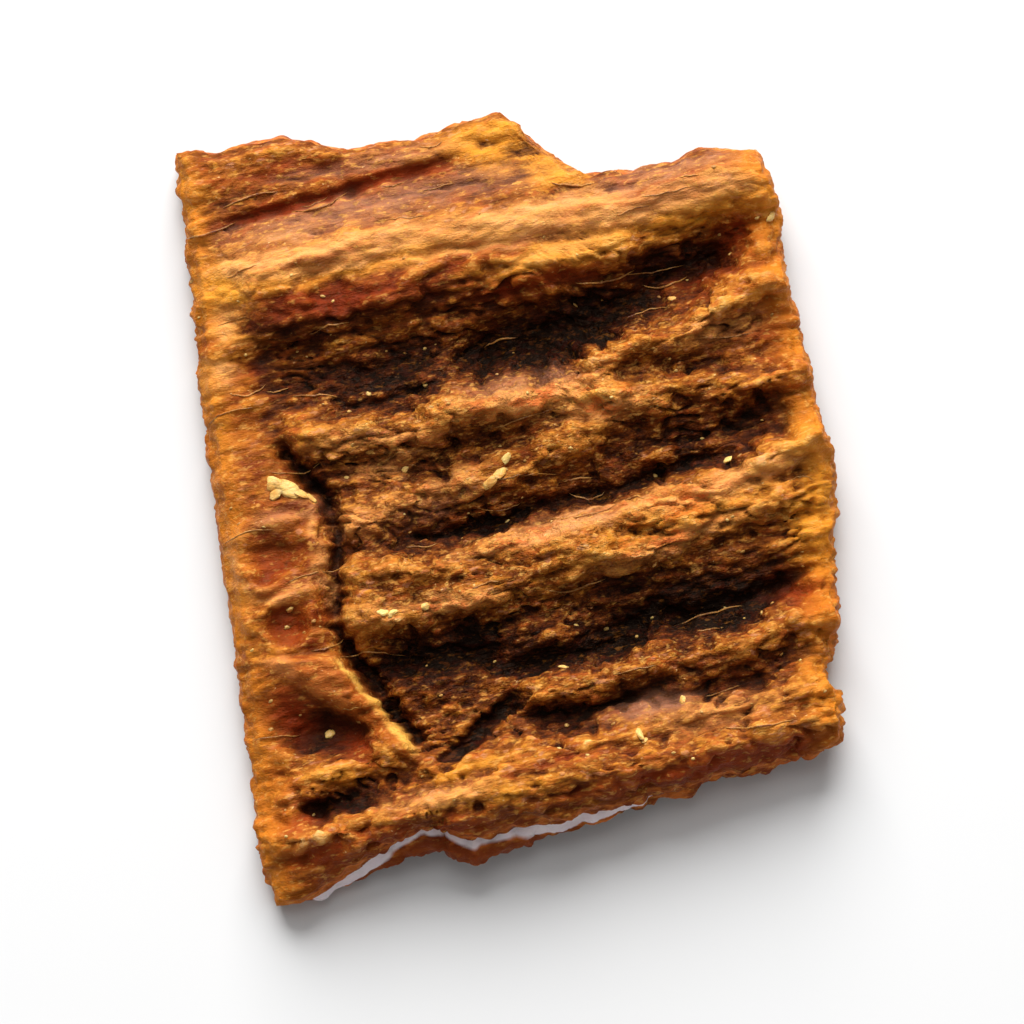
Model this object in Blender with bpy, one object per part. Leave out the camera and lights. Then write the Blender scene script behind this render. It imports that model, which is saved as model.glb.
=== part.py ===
"""A beef jerky dog treat: one square cut from a sheet of dried meat, lying on its underside.

X runs along the muscle fibres and Y across them, from the front edge to the back edge. The meat has
shrunk into long wrinkles that run with the fibres. Sizes are in millimetres, and the finished slab is
put in metres. A place is given as arrays of x and y, so that one call shapes the whole lattice.
"""

import math
from collections import namedtuple

import bpy
import numpy as np
from mathutils import noise

MM = 0.001
NODE = "jerky_treat"

# The slab's lattice of points, and its surfaces: the underside, the rings of the cut edge and the top.
COLUMNS = 42
ROWS = 64
RINGS = 2
TOP_LEVEL = RINGS + 1

# The cut outline from above. The back edge steps in where a corner has torn off.
FRONT_EDGE = (
    (-17.3, -19.0), (-15.8, -18.8), (-14.2, -17.9), (-12.5, -16.9), (-11.0, -16.5), (-8.5, -17.4),
    (-5.5, -17.4), (-3.0, -17.4), (0.0, -17.4), (3.0, -17.3), (9.0, -16.8), (13.5, -16.5), (15.4, -16.0),
)
BACK_EDGE = (
    (-15.0, 24.3), (-12.2, 23.8), (-9.0, 23.9), (-6.6, 23.7), (-4.5, 22.7), (-1.0, 22.3),
    (3.5, 22.8), (5.0, 21.2), (6.6, 19.2), (8.2, 18.2), (11.5, 18.0), (14.8, 18.2), (17.4, 17.6),
)
LEFT_EDGE = (
    (-19.0, -17.3), (-15.0, -17.5), (-10.0, -17.2), (-4.0, -16.8), (4.0, -16.5),
    (8.5, -16.2), (11.5, -16.1), (13.4, -15.7), (19.0, -15.3), (24.4, -15.0),
)
RIGHT_EDGE = (
    (-16.0, 15.4), (-14.2, 15.8), (-12.3, 15.3), (-10.8, 16.3), (-7.5, 16.9), (-4.0, 17.5),
    (-1.0, 18.3), (1.0, 18.0), (6.5, 17.9), (11.0, 17.6), (14.5, 18.1), (17.6, 17.4),
)
EDGE_RAGGED = 0.25
HALF_WIDTH = 17.0

# The slice itself. The top is this high above the table between the wrinkles.
VALLEY_TOP = 3.1
UNDERSIDE = -0.15
CUT_ROUNDING = 0.5
CUT_BULGE = 0.25
EDGE_THINNING = 0.7
EDGE_BAND = 2.2

# How far the lowest layer of the meat stands out along the front edge, and how high it reaches.
PLY_OUT = (
    (-16.0, 0.0), (-13.5, 0.45), (-11.5, 0.7), (-9.5, 1.1), (-7.5, 1.4), (-5.5, 1.35),
    (-3.5, 1.0), (-1.5, 0.65), (2.5, 0.45), (8.0, 0.1), (15.0, 0.0),
)
PLY_SHARE = 0.42
PLY_FADE = 0.06

# A wrinkle: where its crest lies at x = 0, how far its ends bend back and how much it slants,
# its height, its half widths to the back and to the front, how far it leans to the front,
# and where it begins and ends along the fibres.
Wrinkle = namedtuple("Wrinkle", "y bow slant height back front lean left right")
WRINKLES = (
    Wrinkle(16.6, -0.3, 0.00, 1.8, 2.3, 2.1, 0.4, -13.2, 30.0),
    Wrinkle(14.0, 0.0, 0.02, 1.7, 1.6, 1.4, 0.5, -1.0, 9.5),
    Wrinkle(13.5, 0.0, 0.00, 1.3, 1.4, 1.3, 0.3, -12.8, -1.5),
    Wrinkle(7.0, 2.0, 0.05, 1.7, 1.3, 1.1, 0.4, -3.0, 30.0),
    Wrinkle(5.8, 0.0, -0.08, 1.4, 1.1, 1.2, 0.3, -11.5, 9.0),
    Wrinkle(2.6, 0.0, 0.15, 1.1, 1.0, 1.0, 0.2, -10.0, 7.0),
    Wrinkle(4.6, 0.0, 0.02, 0.9, 0.9, 0.9, 0.2, 9.0, 30.0),
    Wrinkle(-1.7, 1.6, 0.05, 1.6, 0.9, 1.3, 0.3, -10.5, 30.0),
    Wrinkle(-3.9, 0.8, 0.06, 1.3, 1.2, 1.0, 0.3, -10.5, 16.0),
    Wrinkle(-7.1, 0.0, -0.10, 0.25, 0.6, 0.5, 0.1, -3.0, 5.0),
    Wrinkle(-10.3, 0.6, 0.03, 1.1, 1.2, 1.0, 0.1, -1.0, 30.0),
    Wrinkle(-12.3, 0.0, 0.00, 0.9, 0.8, 0.8, 0.1, -14.2, -8.0),
    Wrinkle(-13.6, 0.0, 0.02, 0.8, 0.9, 0.8, 0.1, -7.0, 30.0),
    Wrinkle(-15.7, 0.3, 0.03, 1.1, 1.2, 1.0, 0.1, -30.0, 30.0),
)
WRINKLE_FADE = 1.6
WRINKLE_WANDER = 0.55
WRINKLE_SWELL = 0.4
UNDER_SHARE = 0.62
UNDER_SPREAD = 1.35

# A fold between wrinkles: its place like a wrinkle's, its depth, its half width and its two ends.
Fold = namedtuple("Fold", "y bow slant depth half left right")
FOLDS = (
    Fold(9.4, 2.6, 0.08, 1.4, 1.5, -0.5, 15.5),
    Fold(9.4, 0.0, -0.16, 0.7, 1.2, -11.5, 1.0),
    Fold(7.8, 0.0, 0.03, 0.5, 0.5, -9.0, -1.5),
    Fold(-0.2, 0.2, 0.07, 0.9, 0.5, -6.0, 13.0),
    Fold(2.2, 0.0, 0.03, 0.7, 0.9, 8.0, 16.5),
    Fold(-7.0, 0.0, 0.00, 1.2, 1.2, -9.3, -2.0),
    Fold(-8.6, 0.0, -0.05, 0.8, 0.6, -3.0, 4.0),
    Fold(-7.6, 1.0, 0.00, 1.4, 1.3, 3.2, 15.8),
    Fold(-12.1, 0.0, 0.00, 0.7, 0.5, -1.0, 6.0),
    Fold(-14.8, 0.0, -0.34, 1.2, 1.3, -15.6, -10.8),
    Fold(-14.4, 0.0, 0.00, 1.1, 0.7, -15.5, -10.5),
)

# Broad unevenness of the wrinkles: how far it pushes them to the front and back, how much it swells
# them, and the low lumps it adds.
RUMPLE_PUSH = 0.5
RUMPLE_SWELL = 0.35
RUMPLE_LUMP = 0.18

# The fibre bundles that show between the wrinkles, as long low relief.
BUNDLE_DEPTH = 0.26
BUNDLE_WIDTH = 1.0
BUNDLE_LENGTH = 8.0
FIBRE_WANDER = 0.8

# How high the dried slice has curled off the table: along the front, at the right and at the corner
# between them. Each lift grows from the first place to the second, and the front's fades to the right.
FRONT_LIFT = 1.3
FRONT_LIFT_X = (-16, -6)
FRONT_LIFT_FADE = (14, 0)
FRONT_LIFT_Y = (-9, -18)
RIGHT_LIFT = 0.5
RIGHT_LIFT_X = (11, 18)
CORNER_LIFT = 0.25
CORNER_LIFT_SLANT = 0.3
CORNER_LIFT_X = (11, 19)
CORNER_LIFT_Y = (-8, -17)

# The gristle lip along the left edge, and the crack that parts it from the wrinkles, as (y, x) points.
CRACK_LINE = (
    (-12.9, -7.7), (-11.5, -8.3), (-8.5, -9.8), (-6.0, -11.1), (-4.0, -11.5),
    (-2.0, -11.1), (0.5, -10.6), (2.5, -10.8), (4.3, -11.6), (6.0, -12.6),
)
CRACK_MIDDLE = -10.6
CRACK_DEPTH = 1.5
CRACK_WIDTH = 0.55
LIP_HEIGHT = 0.45
LIP_FRONT = -8.0
LIP_BACK = 6.5
LIP_FADE = 1.6
LIP_WRINKLES = 0.35
CRACK_FRONT = -11.0
CRACK_BROKEN = 0.45

# The lip's two round hollows, each with a raised rim: the middles and radii.
DISHES = ((-13.9, 0.1, 1.9), (-13.6, -3.7, 1.6))
DISH_DEPTH = 0.45
DISH_RIM = 0.3
DISH_RIM_WIDTH = 0.3
DISH_RAGGED = 0.45

# The columns of the lattice gather at the crack and run along it.
CRACK_COLUMN = 0.2
COLUMN_GATHER = 0.07
CRACK_REACH = 0.3

# A strip peeled from the lip: it lies along the crack, from its straight end to its thin tip.
PEEL_START = (-15.0, -3.6)
PEEL_END = (-7.9, -12.5)
PEEL_HEIGHT = 0.95
PEEL_DROP = 0.5
PEEL_WIDTH = 1.7
PEEL_TIP = 0.25
PEEL_TOP = -5.4
PEEL_TOP_SLANT = 0.12
PEEL_TOP_FADE = 0.35

# A crease along the flap behind the first wrinkle, and a slanting tear near the front: their ends,
# depths and half widths.
CREASE_START = (-13.2, 19.6)
CREASE_END = (0.8, 20.6)
CREASE_DEPTH = 0.5
CREASE_WIDTH = 0.36
TEAR_START = (-6.4, -13.3)
TEAR_END = (-1.6, -10.3)
TEAR_DEPTH = 0.9
TEAR_WIDTH = 0.5

# Noise: the distance between two patterns, and the places along the fibres at which one is read.
LAYER_STEP = 17.3
TABLE_X = np.linspace(-26.0, 26.0, 521)

# Noise along the fibres in parts, slow ones first: its quickness, the row it is read in and its strength.
WANDER_PARTS = ((0.16, 0, 1.0), (0.45, 3, 0.35))
SWELL_PARTS = ((0.13, 5, 1.0), (0.4, 9, 0.5))
FOLD_PARTS = ((0.3, 5, 1.0),)

# The noise patterns: the first of the wrinkles' and of the folds', which take one each, and the others.
WRINKLE_LAYER = 1
FOLD_LAYER = 51
FIBRE_LAYER = 21
BUNDLE_LAYER = 22
GROOVE_LAYER = 23
EDGE_LAYER = 41
PUSH_LAYER = 61
SWELL_LAYER = 63
LUMP_LAYER = 64
DISH_LAYER = 66
CRACK_LAYER = 67


def through(points, at):
    """A smooth curve through (place, value) points, read at places."""
    places, values = np.array(points).T
    last = len(places) - 1
    at = np.clip(at, places[0], places[-1])
    before = np.maximum(np.arange(last + 1) - 1, 0)
    after = np.minimum(np.arange(last + 1) + 1, last)
    slope = (values[after] - values[before]) / (places[after] - places[before])
    i = np.clip(np.searchsorted(places, at, side="right") - 1, 0, last - 1)
    step = places[i + 1] - places[i]
    t = (at - places[i]) / step
    start, end = slope[i] * step, slope[i + 1] * step
    rise = values[i + 1] - values[i]
    return values[i] + t * (start + t * (3 * rise - 2 * start - end + t * (start + end - 2 * rise)))


def smooth(low, high, at):
    """0 below low, 1 above high, and an even S between them."""
    t = np.clip((at - low) / (high - low), 0.0, 1.0)
    return t * t * (3 - 2 * t)


def wobble(x, y, layer):
    """Smooth noise from about -1 to 1. Each layer is a pattern of its own."""
    x, y = np.broadcast_arrays(x, y)
    depth = LAYER_STEP * layer
    places = zip(x.ravel().tolist(), y.ravel().tolist())
    values = [noise.noise((one_x, one_y, depth)) for one_x, one_y in places]
    return np.array(values).reshape(x.shape)


def along(x, parts, layer):
    """Noise that changes along the fibres alone."""
    total = sum(strength * wobble(quickness * TABLE_X, row, layer) for quickness, row, strength in parts)
    return np.interp(x, TABLE_X, total)


def outline(u, v):
    """The plan of the slice: u runs from left to right and v from front to back, both from 0 to 1."""
    def edge(points, share):
        at = points[0][0] + share * (points[-1][0] - points[0][0])
        return at, through(points, at)

    front_x, front_y = edge(FRONT_EDGE, u)
    back_x, back_y = edge(BACK_EDGE, u)
    left_y, left_x = edge(LEFT_EDGE, v)
    right_y, right_x = edge(RIGHT_EDGE, v)

    def filled(axis, front, back, left, right):
        corners = (1 - v) * ((1 - u) * FRONT_EDGE[0][axis] + u * FRONT_EDGE[-1][axis])
        corners += v * ((1 - u) * BACK_EDGE[0][axis] + u * BACK_EDGE[-1][axis])
        return (1 - v) * front + v * back + (1 - u) * left + u * right - corners

    x = filled(0, front_x, back_x, left_x, right_x)
    y = filled(1, front_y, back_y, left_y, right_y)
    return x, y


def column_place(share):
    """Where a column of the lattice lies. The columns are closer together near the crack."""
    turn = 2 * math.pi
    return share - COLUMN_GATHER * (np.sin(turn * (share - CRACK_COLUMN)) + math.sin(turn * CRACK_COLUMN))


def crack_x(y):
    return through(CRACK_LINE, y)


def beside_crack(u, y):
    """How far a column is moved across, so that the columns near the crack run along it."""
    near = smooth(0, CRACK_COLUMN, u) * smooth(CRACK_COLUMN + CRACK_REACH, CRACK_COLUMN, u)
    return near * (crack_x(y) - CRACK_MIDDLE)


def crest_y(line, x, layer):
    """Where the crest of a wrinkle, or the floor of a fold, lies at x."""
    wander = along(x, WANDER_PARTS, layer)
    return line.y + line.bow * (x / HALF_WIDTH) ** 2 + line.slant * x + WRINKLE_WANDER * wander


def between(line, x):
    """1 between the two ends of a wrinkle or fold, 0 beyond them."""
    begun = smooth(line.left - WRINKLE_FADE, line.left + WRINKLE_FADE, x)
    return begun * smooth(line.right + WRINKLE_FADE, line.right - WRINKLE_FADE, x)


def rise_of(index, x, y, spread):
    """How much of a wrinkle's height stands at x, y. A spread above 1 makes it wider."""
    wrinkle = WRINKLES[index]
    layer = WRINKLE_LAYER + index
    away = y - crest_y(wrinkle, x, layer)
    half = np.where(away > 0, wrinkle.back, wrinkle.front) * spread
    swell = 1 + WRINKLE_SWELL * along(x, SWELL_PARTS, layer)
    return swell * between(wrinkle, x) * np.exp(-((away / half) ** 2))


def wrinkled_height(x, y, spread):
    return sum(w.height * rise_of(k, x, y, spread) for k, w in enumerate(WRINKLES))


def lean(x, y):
    """How far the top leans to the front."""
    return sum(w.lean * rise_of(k, x, y, 1.0) for k, w in enumerate(WRINKLES))


def fold_depth(x, y):
    total = 0.0
    for k, fold in enumerate(FOLDS):
        away = y - crest_y(fold, x, FOLD_LAYER + k)
        swell = 1 + WRINKLE_SWELL * along(x, FOLD_PARTS, FOLD_LAYER + k)
        total = total + fold.depth * swell * between(fold, x) * np.exp(-((away / fold.half) ** 2))
    return total


def lift(x, y):
    """How far the dried slice has curled up from the table."""
    front = FRONT_LIFT * smooth(*FRONT_LIFT_Y, y) * smooth(*FRONT_LIFT_X, x) * smooth(*FRONT_LIFT_FADE, x)
    right = RIGHT_LIFT * smooth(*RIGHT_LIFT_X, x)
    slanted = x - CORNER_LIFT_SLANT * y
    return front + right + CORNER_LIFT * smooth(*CORNER_LIFT_X, slanted) * smooth(*CORNER_LIFT_Y, y)


def lip(x, y):
    """1 on the gristle lip, 0 on the wrinkles."""
    reach = smooth(LIP_FRONT - LIP_FADE, LIP_FRONT + LIP_FADE, y)
    reach = reach * smooth(LIP_BACK + LIP_FADE, LIP_BACK - LIP_FADE, y)
    return reach * smooth(CRACK_WIDTH, -CRACK_WIDTH, x - crack_x(y))


def crack(x, y):
    """1 on the floor of the crack, 0 away from it."""
    reach = smooth(CRACK_FRONT - 2, CRACK_FRONT, y) * smooth(LIP_BACK + 1, LIP_BACK - 1, y)
    broken = 0.75 + CRACK_BROKEN * wobble(0.55 * y, 0.2 * x, CRACK_LAYER)
    return broken * reach * np.exp(-(((x - crack_x(y) - CRACK_WIDTH) / CRACK_WIDTH) ** 2))


def dishes(x, y):
    """The hollows of the lip, below 0, and their rims, above it."""
    ragged = 1 + DISH_RAGGED * wobble(0.7 * x, 0.7 * y, DISH_LAYER)
    total = 0.0
    for middle_x, middle_y, radius in DISHES:
        away = ragged * np.hypot(x - middle_x, y - middle_y) / radius
        rim = np.exp(-(((away - 1) / DISH_RIM_WIDTH) ** 2))
        total = total + DISH_RIM * rim - DISH_DEPTH * smooth(1.0, 0.2, away)
    return total


def band(x, y, start, end, half, tip=1.0):
    """1 along a straight band between two points, 0 away from it. Its end is tip times its half width."""
    run_x, run_y = end[0] - start[0], end[1] - start[1]
    length = math.hypot(run_x, run_y)
    share = ((x - start[0]) * run_x + (y - start[1]) * run_y) / length**2
    away = ((x - start[0]) * run_y - (y - start[1]) * run_x) / length
    ends = smooth(-0.1, 0.12, share) * smooth(1.1, 0.88, share)
    half = half * (1 + (tip - 1) * np.clip(share, 0, 1))
    return ends * np.exp(-np.abs(away / half) ** 4)


def peel(x, y):
    """1 on the peeled strip, 0 away from it."""
    slanted = y + PEEL_TOP_SLANT * (x + HALF_WIDTH)
    cut = smooth(PEEL_TOP + PEEL_TOP_FADE, PEEL_TOP - PEEL_TOP_FADE, slanted)
    return cut * band(x, y, PEEL_START, PEEL_END, PEEL_WIDTH, PEEL_TIP)


def across_fibres(x, y):
    """The distance across the fibres, which wander a little from the line of X."""
    return y + FIBRE_WANDER * wobble(0.12 * x, 0.12 * y, FIBRE_LAYER)


def bundles(x, y):
    """The relief of the fibre bundles, from about -1 to 1: round backs, long in X, with sharp grooves."""
    across = across_fibres(x, y) / BUNDLE_WIDTH / 2
    backs = 2.6 * np.abs(wobble(x / BUNDLE_LENGTH, across, BUNDLE_LAYER)) - 0.65
    return backs + 0.3 * wobble(0.7 * x, 1.1 * y, GROOVE_LAYER)


def rumpled(x, y):
    """Wrinkles less folds, pushed about and swollen unevenly."""
    y = y + RUMPLE_PUSH * wobble(0.3 * x, 0.45 * y, PUSH_LAYER)
    swollen = 1 + RUMPLE_SWELL * wobble(0.35 * x, 0.35 * y, SWELL_LAYER)
    lumps = RUMPLE_LUMP * wobble(0.4 * x, 0.7 * y, LUMP_LAYER)
    return swollen * (wrinkled_height(x, y, 1.0) - fold_depth(x, y)) + lumps


def top_height(x, y):
    wrinkled = rumpled(x, y)
    on_lip = lip(x, y)
    flat = LIP_WRINKLES * wrinkled + LIP_HEIGHT + dishes(x, y)
    height = VALLEY_TOP + lift(x, y) + wrinkled + on_lip * (flat - wrinkled)
    height = height + BUNDLE_DEPTH * bundles(x, y) * (1 - 0.5 * on_lip)
    height = height + PEEL_HEIGHT * peel(x, y) * (1 - PEEL_DROP * smooth(PEEL_TOP, PEEL_END[1], y))
    height = height - CREASE_DEPTH * band(x, y, CREASE_START, CREASE_END, CREASE_WIDTH)
    height = height - TEAR_DEPTH * band(x, y, TEAR_START, TEAR_END, TEAR_WIDTH)
    return height - CRACK_DEPTH * crack(x, y)


def under_height(x, y):
    """The underside follows the wrinkles softly and lies flat where it meets the table."""
    height = UNDERSIDE + lift(x, y) + UNDER_SHARE * wrinkled_height(x, y, UNDER_SPREAD)
    height = height + 0.5 * BUNDLE_DEPTH * bundles(x, 0.7 * y + 60)
    return np.maximum(0.0, height)


def from_edge(u, v):
    """About how far a lattice point is from the cut edge, in millimetres."""
    width = RIGHT_EDGE[0][1] - LEFT_EDGE[0][1]
    length = BACK_EDGE[0][1] - FRONT_EDGE[0][1]
    return np.minimum(np.minimum(u, 1 - u) * width, np.minimum(v, 1 - v) * length)


def plan(u, v):
    """Where a point of the lattice lies from above, before the edge bulges and the top leans."""
    x, y = outline(u, v)
    return x + beside_crack(u, y), y


def place(u, v, level):
    """The lattice points of the slab, in millimetres, as three arrays."""
    x, y = plan(u, v)
    low, high = under_height(x, y), top_height(x, y)
    leaned = lean(x, y)
    share = level / TOP_LEVEL
    high = high - EDGE_THINNING * smooth(1, 0, (HALF_WIDTH + x) / EDGE_BAND)
    high = high - CUT_ROUNDING * smooth(0.7, 0, from_edge(u, v))
    on_edge = (u == 0) | (u == 1) | (v == 0) | (v == 1)
    low = low + np.where(on_edge, 0.4 * CUT_ROUNDING * smooth(0, 0.5, low), 0.0)
    out_x = np.where(u == 0, -1.0, np.where(u == 1, 1.0, 0.0))
    out_y = np.where(v == 0, -1.0, np.where(v == 1, 1.0, 0.0))
    length = np.maximum(1.0, np.hypot(out_x, out_y))
    ragged = EDGE_RAGGED * wobble(0.9 * x, 0.9 * y + 1.3 * share, EDGE_LAYER)
    out = ragged + CUT_BULGE * np.sin(math.pi * share)
    ply = np.where(v == 0, through(PLY_OUT, x), 0.0)
    out = out + ply * smooth(PLY_SHARE + PLY_FADE, PLY_SHARE - PLY_FADE, share)
    x = x + out * out_x / length
    y = y + out * out_y / length - leaned * share
    return x, y, low + share * (high - low)


def add_slab():
    """A flat grid pulled up level by level: its underside, its edge rings and its top, one unit apart."""
    bpy.ops.mesh.primitive_grid_add(x_subdivisions=COLUMNS, y_subdivisions=ROWS, size=1.0)
    slab = bpy.context.object
    slab.name = slab.data.name = NODE
    bpy.ops.object.mode_set(mode="EDIT")
    bpy.ops.mesh.select_all(action="SELECT")
    for _ in range(TOP_LEVEL):
        bpy.ops.mesh.extrude_region_move(TRANSFORM_OT_translate={"value": (0, 0, 1)})
    bpy.ops.mesh.select_all(action="SELECT")
    bpy.ops.mesh.normals_make_consistent(inside=False)
    bpy.ops.object.mode_set(mode="OBJECT")
    return slab


def shape(slab):
    """Moves each point of the slab to its place in the slice, and sets the slice on the table."""
    flat = np.empty(len(slab.data.vertices) * 3)
    slab.data.vertices.foreach_get("co", flat)
    flat = flat.reshape(-1, 3)
    column = np.rint((flat[:, 0] + 0.5) * COLUMNS)
    row = np.rint((flat[:, 1] + 0.5) * ROWS)
    inside = (column > 0) & (column < COLUMNS)
    u = np.where(inside, column_place(column / COLUMNS), column / COLUMNS)
    points = np.stack(place(u, row / ROWS, np.rint(flat[:, 2])), axis=1)
    middle = (points.min(axis=0) + points.max(axis=0)) / 2
    middle[2] = points[:, 2].min()
    slab.data.vertices.foreach_set("co", ((points - middle) * MM).ravel())
    slab.data.update()


def jerky_material():
    made = bpy.data.materials.new("dried_beef")
    made.use_nodes = True
    surface = made.node_tree.nodes["Principled BSDF"]
    surface.inputs["Base Color"].default_value = (0.22, 0.075, 0.014, 1)
    surface.inputs["Roughness"].default_value = 0.55
    surface.inputs["Metallic"].default_value = 0.0
    return made


def main():
    for old in list(bpy.data.objects):
        bpy.data.objects.remove(old)
    food = bpy.data.collections.new("beef_jerky_dog_treat")
    bpy.context.scene.collection.children.link(food)
    slab = add_slab()
    shape(slab)
    slab.data.shade_smooth()
    slab.data.materials.append(jerky_material())
    for holder in list(slab.users_collection):
        holder.objects.unlink(slab)
    food.objects.link(slab)


main()
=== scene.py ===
"""The looks of a beef jerky dog treat: a square cut from a sheet of dried meat, wrinkled along its grain.

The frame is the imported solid. The treat's form is the same one, drawn again here on a much finer lattice
and in millimetres, with X along the muscle fibres and Y across them, and then given its fibres, grains and
fissures, its colours and its loose shreds.
"""

import math
from collections import namedtuple

import bpy
import numpy as np
from mathutils import Matrix, Vector, noise


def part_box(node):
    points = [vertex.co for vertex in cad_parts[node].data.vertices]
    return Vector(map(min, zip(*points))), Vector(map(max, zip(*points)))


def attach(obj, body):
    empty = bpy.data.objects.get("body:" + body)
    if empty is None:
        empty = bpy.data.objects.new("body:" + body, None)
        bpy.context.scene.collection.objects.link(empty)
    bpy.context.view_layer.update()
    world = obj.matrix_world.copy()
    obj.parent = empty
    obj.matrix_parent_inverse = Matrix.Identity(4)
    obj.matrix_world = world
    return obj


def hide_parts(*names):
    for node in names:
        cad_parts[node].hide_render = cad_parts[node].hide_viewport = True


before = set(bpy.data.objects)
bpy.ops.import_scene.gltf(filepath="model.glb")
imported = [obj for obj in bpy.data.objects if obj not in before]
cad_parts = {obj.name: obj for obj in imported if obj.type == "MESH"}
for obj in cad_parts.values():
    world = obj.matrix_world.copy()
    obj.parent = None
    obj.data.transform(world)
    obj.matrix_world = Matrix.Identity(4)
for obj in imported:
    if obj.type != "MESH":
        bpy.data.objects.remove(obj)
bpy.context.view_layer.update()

MM = 0.001
NODE = "jerky_treat"

# The slab's lattice: its columns and rows, the rings of its cut edge, and the share of the faces that is
# kept on the underside, where nothing fine shows.
COLUMNS = 206
ROWS = 336
RINGS = 9
TOP_LEVEL = RINGS + 1
UNDERSIDE_KEPT = 0.64

# The cut outline from above. The back edge steps in where a corner has torn off.
FRONT_EDGE = (
    (-17.3, -19), (-15.8, -18.8), (-14.2, -17.9), (-12.5, -16.9), (-11, -16.5), (-8.5, -17.4),
    (-5.5, -17.4), (-3, -17.4), (0, -17.4), (3, -17.3), (9, -16.8), (13.5, -16.5), (15.4, -16),
)
BACK_EDGE = (
    (-15, 24.3), (-12.2, 23.8), (-9, 23.9), (-6.6, 23.7), (-4.5, 22.7), (-1, 22.3),
    (3.5, 22.8), (5, 21.2), (6.6, 19.2), (8.2, 18.2), (11.5, 18), (14.8, 18.2), (17.4, 17.6),
)
LEFT_EDGE = (
    (-19, -17.3), (-15, -17.5), (-10, -17.2), (-4, -16.8), (4, -16.5),
    (8.5, -16.2), (11.5, -16.1), (13.4, -15.7), (19, -15.3), (24.4, -15),
)
RIGHT_EDGE = (
    (-16, 15.4), (-14.2, 15.8), (-12.3, 15.3), (-10.8, 16.3), (-7.5, 16.9), (-4, 17.5),
    (-1, 18.3), (1, 18), (6.5, 17.9), (11, 17.6), (14.5, 18.1), (17.6, 17.4),
)
EDGE_RAGGED = 0.25
HALF_WIDTH = 17.0

# The slice itself. The top is this high above the table between the wrinkles.
VALLEY_TOP = 3.1
UNDERSIDE = -0.15
CUT_ROUNDING = 0.5
CUT_BULGE = 0.25
EDGE_THINNING = 0.7
EDGE_BAND = 2.2

# How far the lowest layer of the meat stands out along the front edge, and how high it reaches.
PLY_OUT = (
    (-16, 0), (-13.5, 0.45), (-11.5, 0.7), (-9.5, 1.1), (-7.5, 1.4), (-5.5, 1.35),
    (-3.5, 1), (-1.5, 0.65), (2.5, 0.45), (8, 0.1), (15, 0),
)
PLY_SHARE = 0.42
PLY_FADE = 0.06

# A wrinkle: where its crest lies at x = 0, how far its ends bend back and how much it slants,
# its height, its half widths to the back and to the front, how far it leans to the front,
# and where it begins and ends along the fibres.
Wrinkle = namedtuple("Wrinkle", "y bow slant height back front lean left right")
WRINKLES = (
    Wrinkle(16.6, -0.3, 0, 1.8, 2.3, 2.1, 0.4, -13.2, 30),
    Wrinkle(14, 0, 0.02, 1.7, 1.6, 1.4, 0.5, -1, 9.5),
    Wrinkle(13.5, 0, 0, 1.3, 1.4, 1.3, 0.3, -12.8, -1.5),
    Wrinkle(7, 2, 0.05, 1.7, 1.3, 1.1, 0.4, -3, 30),
    Wrinkle(5.8, 0, -0.08, 1.4, 1.1, 1.2, 0.3, -11.5, 9),
    Wrinkle(2.6, 0, 0.15, 1.1, 1, 1, 0.2, -10, 7),
    Wrinkle(4.6, 0, 0.02, 0.9, 0.9, 0.9, 0.2, 9, 30),
    Wrinkle(-1.7, 1.6, 0.05, 1.6, 0.9, 1.3, 0.3, -10.5, 30),
    Wrinkle(-3.9, 0.8, 0.06, 1.3, 1.2, 1, 0.3, -10.5, 16),
    Wrinkle(-7.1, 0, -0.10, 0.25, 0.6, 0.5, 0.1, -3, 5),
    Wrinkle(-10.3, 0.6, 0.03, 1.1, 1.2, 1, 0.1, -1, 30),
    Wrinkle(-12.3, 0, 0, 0.9, 0.8, 0.8, 0.1, -14.2, -8),
    Wrinkle(-13.6, 0, 0.02, 0.8, 0.9, 0.8, 0.1, -7, 30),
    Wrinkle(-15.7, 0.3, 0.03, 1.1, 1.2, 1, 0.1, -30, 30),
)
WRINKLE_FADE = 1.6
WRINKLE_WANDER = 0.55
WRINKLE_SWELL = 0.4
UNDER_SHARE = 0.62
UNDER_SPREAD = 1.35

# A fold between wrinkles: its place like a wrinkle's, its depth, its half width and its two ends.
Fold = namedtuple("Fold", "y bow slant depth half left right")
FOLDS = (
    Fold(9.4, 2.6, 0.08, 1.4, 1.5, -0.5, 15.5),
    Fold(9.4, 0, -0.16, 0.7, 1.2, -11.5, 1),
    Fold(7.8, 0, 0.03, 0.5, 0.5, -9, -1.5),
    Fold(-0.2, 0.2, 0.07, 0.9, 0.5, -6, 13),
    Fold(2.2, 0, 0.03, 0.7, 0.9, 8, 16.5),
    Fold(-7, 0, 0, 1.2, 1.2, -9.3, -2),
    Fold(-8.6, 0, -0.05, 0.8, 0.6, -3, 4),
    Fold(-7.6, 1, 0, 1.4, 1.3, 3.2, 15.8),
    Fold(-12.1, 0, 0, 0.7, 0.5, -1, 6),
    Fold(-14.8, 0, -0.34, 1.2, 1.3, -15.6, -10.8),
    Fold(-14.4, 0, 0, 1.1, 0.7, -15.5, -10.5),
)

# Broad unevenness of the wrinkles: how far it pushes them to the front and back, how much it swells
# them, and the low lumps it adds.
RUMPLE_PUSH = 0.5
RUMPLE_SWELL = 0.35
RUMPLE_LUMP = 0.18

# The fibre bundles that show between the wrinkles, as long low relief.
BUNDLE_DEPTH = 0.26
BUNDLE_WIDTH = 1.0
BUNDLE_LENGTH = 8.0
FIBRE_WANDER = 0.8

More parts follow.
